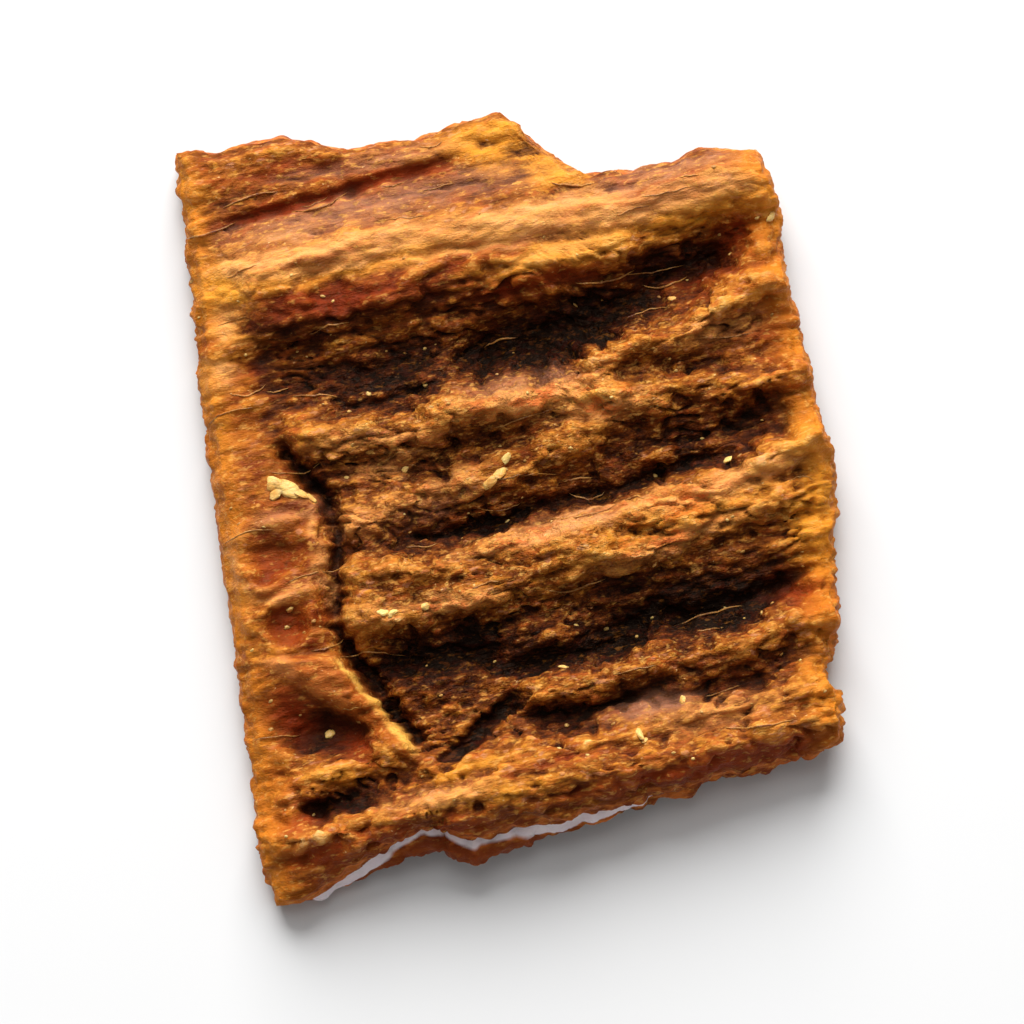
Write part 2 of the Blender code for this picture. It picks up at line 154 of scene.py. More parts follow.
# How high the dried slice has curled off the table: along the front, at the right and at the corner
# between them. Each lift grows from the first place to the second, and the front's fades to the right.
FRONT_LIFT = 1.3
FRONT_LIFT_X = (-16, -6)
FRONT_LIFT_FADE = (14, 0)
FRONT_LIFT_Y = (-9, -18)
RIGHT_LIFT = 0.5
RIGHT_LIFT_X = (11, 18)
CORNER_LIFT = 0.25
CORNER_LIFT_SLANT = 0.3
CORNER_LIFT_X = (11, 19)
CORNER_LIFT_Y = (-8, -17)

# The gristle lip along the left edge, and the crack that parts it from the wrinkles, as (y, x) points.
CRACK_LINE = (
    (-12.9, -7.7), (-11.5, -8.3), (-8.5, -9.8), (-6, -11.1), (-4, -11.5),
    (-2, -11.1), (0.5, -10.6), (2.5, -10.8), (4.3, -11.6), (6, -12.6),
)
CRACK_MIDDLE = -10.6
CRACK_DEPTH = 1.5
CRACK_WIDTH = 0.55
LIP_HEIGHT = 0.45
LIP_FRONT = -8.0
LIP_BACK = 6.5
LIP_FADE = 1.6
LIP_WRINKLES = 0.35
CRACK_FRONT = -11.0
CRACK_BROKEN = 0.45

# The lip's two round hollows, each with a raised rim: the middles and radii.
DISHES = ((-13.9, 0.1, 1.9), (-13.6, -3.7, 1.6))
DISH_DEPTH = 0.45
DISH_RIM = 0.3
DISH_RIM_WIDTH = 0.3
DISH_RAGGED = 0.45

# The columns of the lattice gather at the crack and run along it.
CRACK_COLUMN = 0.2
COLUMN_GATHER = 0.07
CRACK_REACH = 0.3

# A strip peeled from the lip: it lies along the crack, from its straight end to its thin tip.
PEEL_START = (-15.0, -3.6)
PEEL_END = (-7.9, -12.5)
PEEL_HEIGHT = 0.95
PEEL_DROP = 0.5
PEEL_WIDTH = 1.7
PEEL_TIP = 0.25
PEEL_TOP = -5.4
PEEL_TOP_SLANT = 0.12
PEEL_TOP_FADE = 0.35

# A crease along the flap behind the first wrinkle, and a slanting tear near the front: their ends,
# depths and half widths.
CREASE_START = (-13.2, 19.6)
CREASE_END = (0.8, 20.6)
CREASE_DEPTH = 0.5
CREASE_WIDTH = 0.36
TEAR_START = (-6.4, -13.3)
TEAR_END = (-1.6, -10.3)
TEAR_DEPTH = 0.9
TEAR_WIDTH = 0.5

# Noise: the distance between two patterns, and the places along the fibres at which one is read.
LAYER_STEP = 17.3
TABLE_X = np.linspace(-26.0, 26.0, 521)

# Noise along the fibres in parts, slow ones first: its quickness, the row it is read in and its strength.
WANDER_PARTS = ((0.16, 0, 1.0), (0.45, 3, 0.35))
SWELL_PARTS = ((0.13, 5, 1.0), (0.4, 9, 0.5))
FOLD_PARTS = ((0.3, 5, 1.0),)

# The noise patterns: the first of the wrinkles' and of the folds', which take one each, and the others.
WRINKLE_LAYER = 1
FOLD_LAYER = 51
FIBRE_LAYER = 21
BUNDLE_LAYER = 22
GROOVE_LAYER = 23
EDGE_LAYER = 41
PUSH_LAYER = 61
SWELL_LAYER = 63
LUMP_LAYER = 64
DISH_LAYER = 66
CRACK_LAYER = 67


def through(points, at):
    """A smooth curve through (place, value) points, read at places."""
    places, values = np.array(points).T
    last = len(places) - 1
    at = np.clip(at, places[0], places[-1])
    before = np.maximum(np.arange(last + 1) - 1, 0)
    after = np.minimum(np.arange(last + 1) + 1, last)
    slope = (values[after] - values[before]) / (places[after] - places[before])
    i = np.clip(np.searchsorted(places, at, side="right") - 1, 0, last - 1)
    step = places[i + 1] - places[i]
    t = (at - places[i]) / step
    start, end = slope[i] * step, slope[i + 1] * step
    rise = values[i + 1] - values[i]
    return values[i] + t * (start + t * (3 * rise - 2 * start - end + t * (start + end - 2 * rise)))


def smooth(low, high, at):
    """0 below low, 1 above high, and an even S between them."""
    t = np.clip((at - low) / (high - low), 0.0, 1.0)
    return t * t * (3 - 2 * t)


def wobble(x, y, layer, z=0.0, basis="PERLIN_ORIGINAL"):
    """Smooth noise from about -1 to 1. Each layer is a pattern of its own."""
    x, y, z = np.broadcast_arrays(x, y, z + LAYER_STEP * layer)
    places = zip(x.ravel().tolist(), y.ravel().tolist(), z.ravel().tolist())
    values = [noise.noise(place, noise_basis=basis) for place in places]
    return np.array(values).reshape(x.shape)


def along(x, parts, layer):
    """Noise that changes along the fibres alone."""
    total = sum(strength * wobble(quickness * TABLE_X, row, layer) for quickness, row, strength in parts)
    return np.interp(x, TABLE_X, total)


def outline(u, v):
    """The plan of the slice: u runs from left to right and v from front to back, both from 0 to 1."""
    def edge(points, share):
        at = points[0][0] + share * (points[-1][0] - points[0][0])
        return at, through(points, at)

    front_x, front_y = edge(FRONT_EDGE, u)
    back_x, back_y = edge(BACK_EDGE, u)
    left_y, left_x = edge(LEFT_EDGE, v)
    right_y, right_x = edge(RIGHT_EDGE, v)

    def filled(axis, front, back, left, right):
        corners = (1 - v) * ((1 - u) * FRONT_EDGE[0][axis] + u * FRONT_EDGE[-1][axis])
        corners += v * ((1 - u) * BACK_EDGE[0][axis] + u * BACK_EDGE[-1][axis])
        return (1 - v) * front + v * back + (1 - u) * left + u * right - corners

    x = filled(0, front_x, back_x, left_x, right_x)
    y = filled(1, front_y, back_y, left_y, right_y)
    return x, y


def column_place(share):
    """Where a column of the lattice lies. The columns are closer together near the crack."""
    turn = 2 * math.pi
    return share - COLUMN_GATHER * (np.sin(turn * (share - CRACK_COLUMN)) + math.sin(turn * CRACK_COLUMN))


def crack_x(y):
    return through(CRACK_LINE, y)


def beside_crack(u, y):
    """How far a column is moved across, so that the columns near the crack run along it."""
    near = smooth(0, CRACK_COLUMN, u) * smooth(CRACK_COLUMN + CRACK_REACH, CRACK_COLUMN, u)
    return near * (crack_x(y) - CRACK_MIDDLE)


def crest_y(line, x, layer):
    """Where the crest of a wrinkle, or the floor of a fold, lies at x."""
    wander = along(x, WANDER_PARTS, layer)
    return line.y + line.bow * (x / HALF_WIDTH) ** 2 + line.slant * x + WRINKLE_WANDER * wander


def between(line, x):
    """1 between the two ends of a wrinkle or fold, 0 beyond them."""
    begun = smooth(line.left - WRINKLE_FADE, line.left + WRINKLE_FADE, x)
    return begun * smooth(line.right + WRINKLE_FADE, line.right - WRINKLE_FADE, x)


def rise_of(index, x, y, spread):
    """How much of a wrinkle's height stands at x, y. A spread above 1 makes it wider."""
    wrinkle = WRINKLES[index]
    layer = WRINKLE_LAYER + index
    away = y - crest_y(wrinkle, x, layer)
    half = np.where(away > 0, wrinkle.back, wrinkle.front) * spread
    swell = 1 + WRINKLE_SWELL * along(x, SWELL_PARTS, layer)
    return swell * between(wrinkle, x) * np.exp(-((away / half) ** 2))


def wrinkled_height(x, y, spread):
    return sum(w.height * rise_of(k, x, y, spread) for k, w in enumerate(WRINKLES))


def lean(x, y):
    """How far the top leans to the front."""
    return sum(w.lean * rise_of(k, x, y, 1.0) for k, w in enumerate(WRINKLES))


def fold_depth(x, y):
    total = 0.0
    for k, fold in enumerate(FOLDS):
        away = y - crest_y(fold, x, FOLD_LAYER + k)
        swell = 1 + WRINKLE_SWELL * along(x, FOLD_PARTS, FOLD_LAYER + k)
        total = total + fold.depth * swell * between(fold, x) * np.exp(-((away / fold.half) ** 2))
    return total


def lift(x, y):
    """How far the dried slice has curled up from the table."""
    front = FRONT_LIFT * smooth(*FRONT_LIFT_Y, y) * smooth(*FRONT_LIFT_X, x) * smooth(*FRONT_LIFT_FADE, x)
    right = RIGHT_LIFT * smooth(*RIGHT_LIFT_X, x)
    slanted = x - CORNER_LIFT_SLANT * y
    return front + right + CORNER_LIFT * smooth(*CORNER_LIFT_X, slanted) * smooth(*CORNER_LIFT_Y, y)


def lip(x, y):
    """1 on the gristle lip, 0 on the wrinkles."""
    reach = smooth(LIP_FRONT - LIP_FADE, LIP_FRONT + LIP_FADE, y)
    reach = reach * smooth(LIP_BACK + LIP_FADE, LIP_BACK - LIP_FADE, y)
    return reach * smooth(CRACK_WIDTH, -CRACK_WIDTH, x - crack_x(y))


def crack(x, y):
    """1 on the floor of the crack, 0 away from it."""
    reach = smooth(CRACK_FRONT - 2, CRACK_FRONT, y) * smooth(LIP_BACK + 1, LIP_BACK - 1, y)
    broken = 0.75 + CRACK_BROKEN * wobble(0.55 * y, 0.2 * x, CRACK_LAYER)
    return broken * reach * np.exp(-(((x - crack_x(y) - CRACK_WIDTH) / CRACK_WIDTH) ** 2))


def dishes(x, y):
    """The hollows of the lip, below 0, and their rims, above it."""
    ragged = 1 + DISH_RAGGED * wobble(0.7 * x, 0.7 * y, DISH_LAYER)
    total = 0.0
    for middle_x, middle_y, radius in DISHES:
        away = ragged * np.hypot(x - middle_x, y - middle_y) / radius
        rim = np.exp(-(((away - 1) / DISH_RIM_WIDTH) ** 2))
        total = total + DISH_RIM * rim - DISH_DEPTH * smooth(1.0, 0.2, away)
    return total


def band(x, y, start, end, half, tip=1.0):
    """1 along a straight band between two points, 0 away from it. Its end is tip times its half width."""
    run_x, run_y = end[0] - start[0], end[1] - start[1]
    length = math.hypot(run_x, run_y)
    share = ((x - start[0]) * run_x + (y - start[1]) * run_y) / length**2
    away = ((x - start[0]) * run_y - (y - start[1]) * run_x) / length
    ends = smooth(-0.1, 0.12, share) * smooth(1.1, 0.88, share)
    half = half * (1 + (tip - 1) * np.clip(share, 0, 1))
    return ends * np.exp(-np.abs(away / half) ** 4)


def peel(x, y):
    """1 on the peeled strip, 0 away from it."""
    slanted = y + PEEL_TOP_SLANT * (x + HALF_WIDTH)
    cut = smooth(PEEL_TOP + PEEL_TOP_FADE, PEEL_TOP - PEEL_TOP_FADE, slanted)
    return cut * band(x, y, PEEL_START, PEEL_END, PEEL_WIDTH, PEEL_TIP)


def across_fibres(x, y):
    """The distance across the fibres, which wander a little from the line of X."""
    return y + FIBRE_WANDER * wobble(0.12 * x, 0.12 * y, FIBRE_LAYER)


def bundles(x, y):
    """The relief of the fibre bundles, from about -1 to 1: round backs, long in X, with sharp grooves."""
    across = across_fibres(x, y) / BUNDLE_WIDTH / 2
    backs = 2.6 * np.abs(wobble(x / BUNDLE_LENGTH, across, BUNDLE_LAYER)) - 0.65
    return backs + 0.3 * wobble(0.7 * x, 1.1 * y, GROOVE_LAYER)


def rumpled(x, y):
    """Wrinkles less folds, pushed about and swollen unevenly."""
    y = y + RUMPLE_PUSH * wobble(0.3 * x, 0.45 * y, PUSH_LAYER)
    swollen = 1 + RUMPLE_SWELL * wobble(0.35 * x, 0.35 * y, SWELL_LAYER)
    lumps = RUMPLE_LUMP * wobble(0.4 * x, 0.7 * y, LUMP_LAYER)
    return swollen * (wrinkled_height(x, y, 1.0) - fold_depth(x, y)) + lumps


def top_height(x, y):
    wrinkled = rumpled(x, y)
    on_lip = lip(x, y)
    flat = LIP_WRINKLES * wrinkled + LIP_HEIGHT + dishes(x, y)
    height = VALLEY_TOP + lift(x, y) + wrinkled + on_lip * (flat - wrinkled)
    height = height + BUNDLE_DEPTH * bundles(x, y) * (1 - 0.5 * on_lip)
    height = height + PEEL_HEIGHT * peel(x, y) * (1 - PEEL_DROP * smooth(PEEL_TOP, PEEL_END[1], y))
    height = height - CREASE_DEPTH * band(x, y, CREASE_START, CREASE_END, CREASE_WIDTH)
    height = height - TEAR_DEPTH * band(x, y, TEAR_START, TEAR_END, TEAR_WIDTH)
    return height - CRACK_DEPTH * crack(x, y)


def under_height(x, y):
    """The underside follows the wrinkles softly and lies flat where it meets the table."""
    height = UNDERSIDE + lift(x, y) + UNDER_SHARE * wrinkled_height(x, y, UNDER_SPREAD)
    height = height + 0.5 * BUNDLE_DEPTH * bundles(x, 0.7 * y + 60)
    return np.maximum(0.0, height)


def from_edge(u, v):
    """About how far a lattice point is from the cut edge, in millimetres."""
    width = RIGHT_EDGE[0][1] - LEFT_EDGE[0][1]
    length = BACK_EDGE[0][1] - FRONT_EDGE[0][1]
    return np.minimum(np.minimum(u, 1 - u) * width, np.minimum(v, 1 - v) * length)


def plan(u, v):
    """Where a point of the lattice lies from above, before the edge bulges and the top leans."""
    x, y = outline(u, v)
    return x + beside_crack(u, y), y


def place(u, v, level):
    """The lattice points of the slab, in millimetres, as three arrays."""
    x, y = plan(u, v)
    low, high = under_height(x, y), top_height(x, y)
    leaned = lean(x, y)
    share = level / TOP_LEVEL
    high = high - EDGE_THINNING * smooth(1, 0, (HALF_WIDTH + x) / EDGE_BAND)
    high = high - CUT_ROUNDING * smooth(0.7, 0, from_edge(u, v))
    on_edge = (u == 0) | (u == 1) | (v == 0) | (v == 1)
    low = low + np.where(on_edge, 0.4 * CUT_ROUNDING * smooth(0, 0.5, low), 0.0)
    out_x = np.where(u == 0, -1.0, np.where(u == 1, 1.0, 0.0))
    out_y = np.where(v == 0, -1.0, np.where(v == 1, 1.0, 0.0))
    length = np.maximum(1.0, np.hypot(out_x, out_y))
    ragged = EDGE_RAGGED * wobble(0.9 * x, 0.9 * y + 1.3 * share, EDGE_LAYER)
    out = ragged + CUT_BULGE * np.sin(math.pi * share)
    ply = np.where(v == 0, through(PLY_OUT, x), 0.0)
    out = out + ply * smooth(PLY_SHARE + PLY_FADE, PLY_SHARE - PLY_FADE, share)
    x = x + out * out_x / length
    y = y + out * out_y / length - leaned * share
    return x, y, low + share * (high - low)


def deselect():
    if bpy.context.mode != "OBJECT":
        bpy.ops.object.mode_set(mode="OBJECT")
    bpy.ops.object.select_all(action="DESELECT")


def add_slab(name):
    """A flat grid pulled up level by level: its underside, its edge rings and its top, one unit apart."""
    deselect()
    bpy.ops.mesh.primitive_grid_add(x_subdivisions=COLUMNS, y_subdivisions=ROWS, size=1.0)
    slab = bpy.context.object
    slab.name = slab.data.name = name
    bpy.ops.object.mode_set(mode="EDIT")
    bpy.ops.mesh.select_all(action="SELECT")
    for _ in range(TOP_LEVEL):
        bpy.ops.mesh.extrude_region_move(TRANSFORM_OT_translate={"value": (0, 0, 1)})
    bpy.ops.mesh.select_all(action="SELECT")
    bpy.ops.mesh.normals_make_consistent(inside=False)
    bpy.ops.object.mode_set(mode="OBJECT")
    return slab


def points_of(mesh):
    values = np.empty(len(mesh.vertices) * 3)
    mesh.vertices.foreach_get("co", values)
    return values.reshape(-1, 3)


def set_points(mesh, points):
    mesh.vertices.foreach_set("co", points.ravel())
    mesh.update()


def blurred(grid, reach):
    """The grid with each value averaged over a square of cells round it."""
    for axis, cells in enumerate(reach):
        padded = np.pad(grid, [(cells + 1, cells) if k == axis else (0, 0) for k in (0, 1)], mode="edge")
        total = np.cumsum(padded, axis=axis)
        count = grid.shape[axis]
        high = np.take(total, np.arange(count) + 2 * cells + 1, axis=axis)
        low = np.take(total, np.arange(count), axis=axis)
        grid = (high - low) / (2 * cells + 1)
    return grid


# The fine relief, in millimetres: how deep each kind is, how long and wide its features are, how much of it
# there is outside the rough parts, and its noise pattern.
Relief = namedtuple("Relief", "depth length width share layer")
STRAND = Relief(0.17, 2.6, 0.5, 0.7, 24)
FIBRE = Relief(0.09, 1.3, 0.26, 1.0, 25)
GRAIN = Relief(0.16, 0.75, 0.5, 0.35, 26)
COARSE_GRAIN = Relief(0.16, 1.5, 1.0, 0.0, 32)
PIT = Relief(0.25, 1 / 1.1, 1 / 1.5, 0.0, 30)
FISSURE = Relief(0.34, 2.2, 0.7, 0.3, 27)
PIT_SPOTS = (0.28, 0.55)
FISSURE_LINES = (0.10, 0.0)
FISSURED = (0.0, 0.25)
CLUMPED = (-0.25, 0.35)
FIBRE_BEND = 0.25
SKIN_SMOOTHED = 0.3
SLAB_DEPTH = 3.0

# Where the meat is rough: its middle, and a band along the front. It is smooth at each first value and
# rough at each second one.
ROUGH_LEFT = (-12.5, -10.0)
ROUGH_RIGHT = (18.5, 15.5)
ROUGH_BACK = (16.8, 12.8)
ROUGH_BAND_BACK = (-11.0, -13.5)
ROUGH_BAND_FRONT = (-18.5, -16.5)

# Above this height, in millimetres, the relief stands up only in part, so that the piece is no taller.
WORN_FROM = 5.3
WORN_SHARE = 0.45

# The pale rim of the peeled strip, in two parts: the two ends and the half width of each.
PEEL_RIMS = (((-11.4, -6.4), (-9.6, -9.2), 0.16), ((-9.9, -8.8), (-8.0, -12.4), 0.3))
PEEL_RIM_STRAY = 0.35

# The middle, which is darkest and roughest in colour, between its left, right, front and back limits.
MIDDLE = ((-12.0, -7.0), (16.0, 9.0), (-13.0, -9.0), (13.0, 9.0))

# Hollows are found as places lower than the ground about them, averaged over these many rows and columns.
# Hollows are painted darker and crests paler: partly the meat's own colour, partly painted shade and light.
WIDE_REACH = (15, 12)
NEAR_REACH = (3, 3)

# The pale skin along the front edge, on the ledge of the lowest layer: the two levels of the edge that it
# covers, as shares of the height, and its ends. Where the ledge is wide it covers the inner one alone.
SKIN_INNER = 0.5
SKIN_OUTER = 0.4
SKIN_OUTER_HIDDEN = 0.9
SKIN_WIDE_LEDGE = (0.5, 1.2)
SKIN_LEFT = (-16.0, -15.0)
SKIN_RIGHT = (6.5, 3.5)

# Patches of colour: x, y, their two half sizes, their strength and, where they are turned, the degrees.
# The dark, gold and tan patches are partly painted shade and painted light, as said at each.
PATCHES = {
    # Gold: partly the meat's golden colour, partly painted light on the first crest's shaded front slope.
    "gold": (
        (-5, 15.6, 7, 0.7, 0.6), (13.5, 14.6, 3.4, 0.9, 0.9), (-14, 16, 1.5, 1.6, 1),
        (-13.7, 13.6, 0.9, 1, 0.9), (-15.2, 11.4, 0.9, 1.1, 1), (6, 14.2, 3.4, 0.8, 0.9, 2),
        (2.6, 20.9, 2.8, 1.3, 1, -30), (5.4, 19.5, 3.2, 0.9, 1, -42), (3.6, 21.6, 1.6, 0.7, 1),
        (6.3, 5.4, 1.4, 0.6, 0.9, 10), (2, 6.1, 2.5, 0.6, 0.5), (10, -2, 5, 1.1, 0.7, 8),
        (16.9, -4, 1.1, 5, 1, -8), (-14.9, 21.5, 0.9, 2.2, 0.6), (18.2, 14.3, 0.8, 1.4, 0.8),
        (-14.3, 9.5, 1.6, 4.5, 0.5), (-3, -15.6, 3, 0.5, 0.5), (-12, -12.8, 2.2, 0.6, 0.5),
        (-5, -13.8, 2.4, 0.5, 0.6, 5), (-15, -5.2, 1.6, 0.3, 0.8, -8), (-16.3, 0, 0.4, 4.5, 0.6),
        (15.8, -13.8, 0.6, 1.6, 0.7),
    ),
    # Tan: partly the meat's pale tan, partly painted light along the crests, most on the first crest's
    # shaded front slope.
    "tan": (
        (-14.3, -6.3, 1.4, 0.4, 0.9, -42), (-12, -7.6, 1.6, 0.7, 0.4, -50), (-11.2, -0.8, 0.45, 2.8, 0.9),
        (-13.5, -1.9, 2, 0.35, 1, 3), (-13.2, 2, 1.8, 0.3, 0.6), (-15.9, -0.2, 0.35, 2.2, 0.7),
        (-14, 13.8, 0.8, 0.9, 0.8), (-14.9, 11.2, 0.9, 0.7, 1), (-6, 5.6, 3.6, 0.5, 0.5, -5),
        (-7, 17.1, 6.5, 0.6, 0.8), (-6, 16.2, 6, 0.35, 0.7, 2), (5, 16.7, 8, 0.6, 0.8),
        (4, 15.6, 6, 0.35, 0.7, 4), (11.5, 15.9, 5.5, 0.8, 0.9, 3), (3, 15.8, 6, 0.5, 0.6, 3),
        (6, 14.4, 2.8, 0.4, 0.4, 2), (-12.6, 17, 0.9, 1, 0.8), (-9.5, 18.4, 2, 0.4, 0.6),
        (2.5, 6.3, 3.8, 0.8, 0.8), (6, 4.9, 2.6, 0.6, 0.6), (-6.5, 4, 2.6, 0.6, 0.5),
        (-4, 2.4, 2.6, 0.5, 0.5, 10), (-9, 1.4, 1.2, 0.8, 0.5), (3, -1.2, 5.5, 0.5, 0.9, 5),
        (12, -0.9, 4, 0.6, 0.7, 8), (9, -3.2, 4, 0.6, 0.6, 12), (-5, -4.2, 3.4, 0.5, 0.6, -4),
        (14, 8, 2.2, 0.7, 0.4), (9, -13.4, 3, 0.9, 0.4), (-7, -15.2, 2.6, 0.5, 0.5),
    ),
    "red": (
        (-13.9, -0.4, 1.6, 1.3, 0.6), (-13.4, -4, 1.4, 1.1, 0.75), (-3, 20.4, 3.6, 0.5, 0.9),
        (-9, 20, 4, 0.35, 0.9, 3), (8, -16.3, 7.5, 0.7, 0.9, 2), (-7.5, -17.2, 4, 0.6, 0.8),
        (-14.4, -16.9, 2.6, 1, 0.9), (-15.6, -15.2, 1.1, 1, 0.8), (-15, -18.6, 2, 0.8, 0.5),
        (-10.8, -16.6, 2.6, 0.6, 0.7), (-15.8, -11.4, 0.8, 1.8, 0.5), (15.8, 13.2, 1.4, 1.2, 0.8),
        (-15.4, 12.9, 0.6, 0.8, 0.8), (-13.6, 10.6, 0.8, 1.4, 0.5), (-14.8, -8.8, 1.5, 1.4, 0.9),
        (-11.2, -11.4, 1.6, 0.8, 0.6, -50), (-10.5, 22, 4, 0.5, 0.5), (0, -14.6, 3, 0.4, 0.5),
        (14, 11, 2.4, 0.7, 0.4), (15.9, -8.3, 0.9, 1.9, 1), (15.2, -8, 1.2, 1, 0.7),
        (-8, 16.7, 3.6, 0.16, 0.8, 3), (1.5, 15.3, 5, 0.16, 0.8, 6), (8.5, 16.3, 4, 0.14, 0.7, 2),
        (12.5, 16.9, 3.4, 0.2, 0.7, 3), (-7.4, 14.2, 5, 0.9, 0.65), (1, 14.9, 3, 0.3, 0.6, 8),
        (4, 12.9, 3.6, 0.7, 0.8, 4), (16.8, 8, 1, 3, 0.7), (-14.2, 8.5, 1.2, 2.4, 0.5),
        (12.5, 16, 3, 0.5, 0.5),
    ),
    "grey": (
        (-4, 19, 8, 0.9, 0.8), (-4, 21.4, 5, 0.6, 0.6), (11.5, 17.4, 5, 0.6, 0.6, 2),
        (-12.6, 2.3, 1.8, 0.4, 0.9), (5.6, -12.4, 1.9, 0.6, 0.9), (2, 7.3, 3.2, 0.5, 0.7),
        (-5, 1.2, 4, 0.7, 0.4, 8), (4, -1.2, 3, 0.4, 0.6),
    ),
    # Dark: partly the meat's darker colour, partly painted shade in the valleys and the pocket under the
    # peeled strip.
    "dark": (
        (5.2, 9.6, 4.6, 1.5, 1, 6), (11.8, 12.2, 2.8, 0.9, 0.9), (-5, 9, 5.5, 1.8, 0.6, -4),
        (-5.8, -7.8, 3.2, 1.6, 1), (9.5, -7.6, 6.2, 1.8, 1, 5), (1, -8.4, 4.4, 1.4, 1, -3),
        (-3, -6.8, 3.2, 0.7, 0.9), (5, -5.6, 3, 0.6, 0.5, 4), (-6, -9.6, 2.8, 0.7, 0.5),
        (12.5, 2.8, 4, 1.9, 0.35), (-2.5, -0.4, 3.2, 0.4, 0.8), (-13.4, -10, 2.9, 1.2, 0.85, -20),
        (-14, -8.3, 1, 0.7, 0.5, -40), (-12.4, -14.5, 2.6, 1, 0.6), (-11.4, 4.6, 1.6, 0.5, 0.9, -25),
        (-7.4, 13.5, 5.6, 1.3, 0.95), (2.8, 12.6, 3.6, 0.9, 0.8, 3), (-10.4, 3.6, 0.5, 1.9, 0.8),
        (8.9, 17.5, 0.7, 0.4, 0.8), (2, -12, 4, 0.5, 0.6), (-4, -11.8, 2.8, 0.5, 0.8, 32),
        (4, -11, 9.5, 1.5, 0.4, 2), (1, -15.6, 14, 1.2, 0.35), (-12.6, 11, 0.6, 1.2, 0.6),
        (-15, 9.4, 0.7, 0.5, 0.4), (-12.4, 9, 0.7, 3.4, 0.5), (1, -7.2, 3.4, 0.8, 0.6, -3),
    ),
}
PATCH_EDGE = 1.3
PATCH_REACH = 0.8
PATCH_STRAY_X = 0.9
PATCH_STRAY_Y = 0.45

# The noise patterns of the relief and the colours.
SPLIT_LAYER = 28
BEND_LAYER = 29
CLUMP_LAYER = 31
STRAY_LAYERS = (71, 72)
RIM_LAYER = 73
DENT_LAYERS = (81, 83)
SWAY_LAYER = 82


def painted(patches, x, y):
    """How much of a colour lies at x, y: patches with ragged edges."""
    ragged_x = x + PATCH_STRAY_X * wobble(0.55 * x, 1.1 * y, STRAY_LAYERS[0])
    ragged_y = y + PATCH_STRAY_Y * wobble(0.6 * x, 1.3 * y, STRAY_LAYERS[1])
    total = np.zeros_like(x)
    for middle_x, middle_y, half_long, half_wide, strength, *turned in patches:
        turn = math.radians(sum(turned))
        cosine, sine = math.cos(turn), math.sin(turn)
        away_x, away_y = ragged_x - middle_x, ragged_y - middle_y
        far_long = (away_x * cosine + away_y * sine) / half_long
        far_wide = (away_y * cosine - away_x * sine) / half_wide
        far = (far_long**2 + far_wide**2) ** PATCH_EDGE
        total = np.maximum(total, strength * np.exp(-PATCH_REACH * far))
    return total


def depth_of(kind, rough):
    """How deep a kind of relief is, on rough parts (1) and smooth ones (0)."""
    return kind.depth * (kind.share + (1 - kind.share) * rough)


def grooved(x, across, depth, kind):
    """Round backs with sharp grooves between them, from about -1 to 1, in meat that lies along X."""
    stretched = wobble(x / kind.length, across / kind.width / 2, kind.layer, depth / kind.width / 2)
    return 2.6 * np.abs(stretched) - 0.65


def grains(x, across, depth, kind):
    """Crumbly grains with sharp gaps between them, from about -1 to 1, a little longer along the fibres."""
    nearest = wobble(x / kind.length, across / kind.width, kind.layer, depth / kind.width, "VORONOI_F1")
    return 0.2 - 1.2 * nearest


def roughness(x, y):
    """1 on the rough wrinkled middle, 0 on the smoother flap, lip and right strip."""
    middle = smooth(*ROUGH_LEFT, x) * smooth(*ROUGH_RIGHT, x) * smooth(*ROUGH_BACK, y)
    return middle + (1 - middle) * smooth(*ROUGH_BAND_BACK, y) * smooth(*ROUGH_BAND_FRONT, y)


def fine_relief(x, y, depth):
    """The height of the fine relief at a place x, y and a depth below the top, in millimetres."""
    across = across_fibres(x, y) + FIBRE_BEND * wobble(0.5 * x, 0.8 * y, BEND_LAYER)
    rough = roughness(x, y)
    height = depth_of(STRAND, rough) * grooved(x, across, depth, STRAND)
    height += depth_of(FIBRE, rough) * grooved(x, across, depth, FIBRE)
    height += depth_of(GRAIN, rough) * grains(x, across, depth, GRAIN)
    clumped = smooth(*CLUMPED, wobble(0.35 * x, 0.6 * y, CLUMP_LAYER))
    height += depth_of(COARSE_GRAIN, rough) * clumped * grains(x, across, depth, COARSE_GRAIN)
    spots = wobble(x / PIT.length, y / PIT.width, PIT.layer, depth)
    height -= depth_of(PIT, rough) * smooth(*PIT_SPOTS, spots)
    split = wobble(x / FISSURE.length, across / FISSURE.width, FISSURE.layer, depth / FISSURE.width)
    where_split = smooth(*FISSURED, wobble(0.3 * x, 0.5 * y, SPLIT_LAYER))
    height -= depth_of(FISSURE, rough) * smooth(*FISSURE_LINES, np.abs(split)) * where_split
    return height * (1 - SKIN_SMOOTHED * np.maximum(lip(x, y), peel(x, y)))


def add_treat():
    """The treat: the slab in the slice's form, with the fine relief on it and the masks for its colours."""
    treat = add_slab("jerky_meat")
    mesh = treat.data
    flat = points_of(mesh)
    column = np.rint((flat[:, 0] + 0.5) * COLUMNS).astype(int)
    row = np.rint((flat[:, 1] + 0.5) * ROWS).astype(int)
    level = np.rint(flat[:, 2]).astype(int)
    u = column_place(column / COLUMNS)
    u[column == 0] = 0.0
    u[column == COLUMNS] = 1.0
    v = row / ROWS
    x, y, z = place(u, v, level)
    set_points(mesh, np.stack((x, y, z), axis=1))
    normals = np.empty(len(mesh.vertices) * 3)
    mesh.vertex_normals.foreach_get("vector", normals)
    normals = normals.reshape(-1, 3)
    plan_x, plan_y = plan(u, v)
    depth = SLAB_DEPTH * (1 - level / TOP_LEVEL)
    fine = fine_relief(plan_x, plan_y, depth)
    points = np.stack((x, y, z), axis=1) + normals * fine[:, None]
    points[:, 2] = np.maximum(points[:, 2], 0.0)
    points[:, 2] -= WORN_SHARE * np.maximum(points[:, 2] - WORN_FROM, 0.0)
    set_points(mesh, points)
    paint_masks(mesh, points, (column, row, level), (u, v), (plan_x, plan_y))
    shift = settle(treat)
    thin_underside(treat, level)
    mesh.shade_smooth()
    return treat, shift


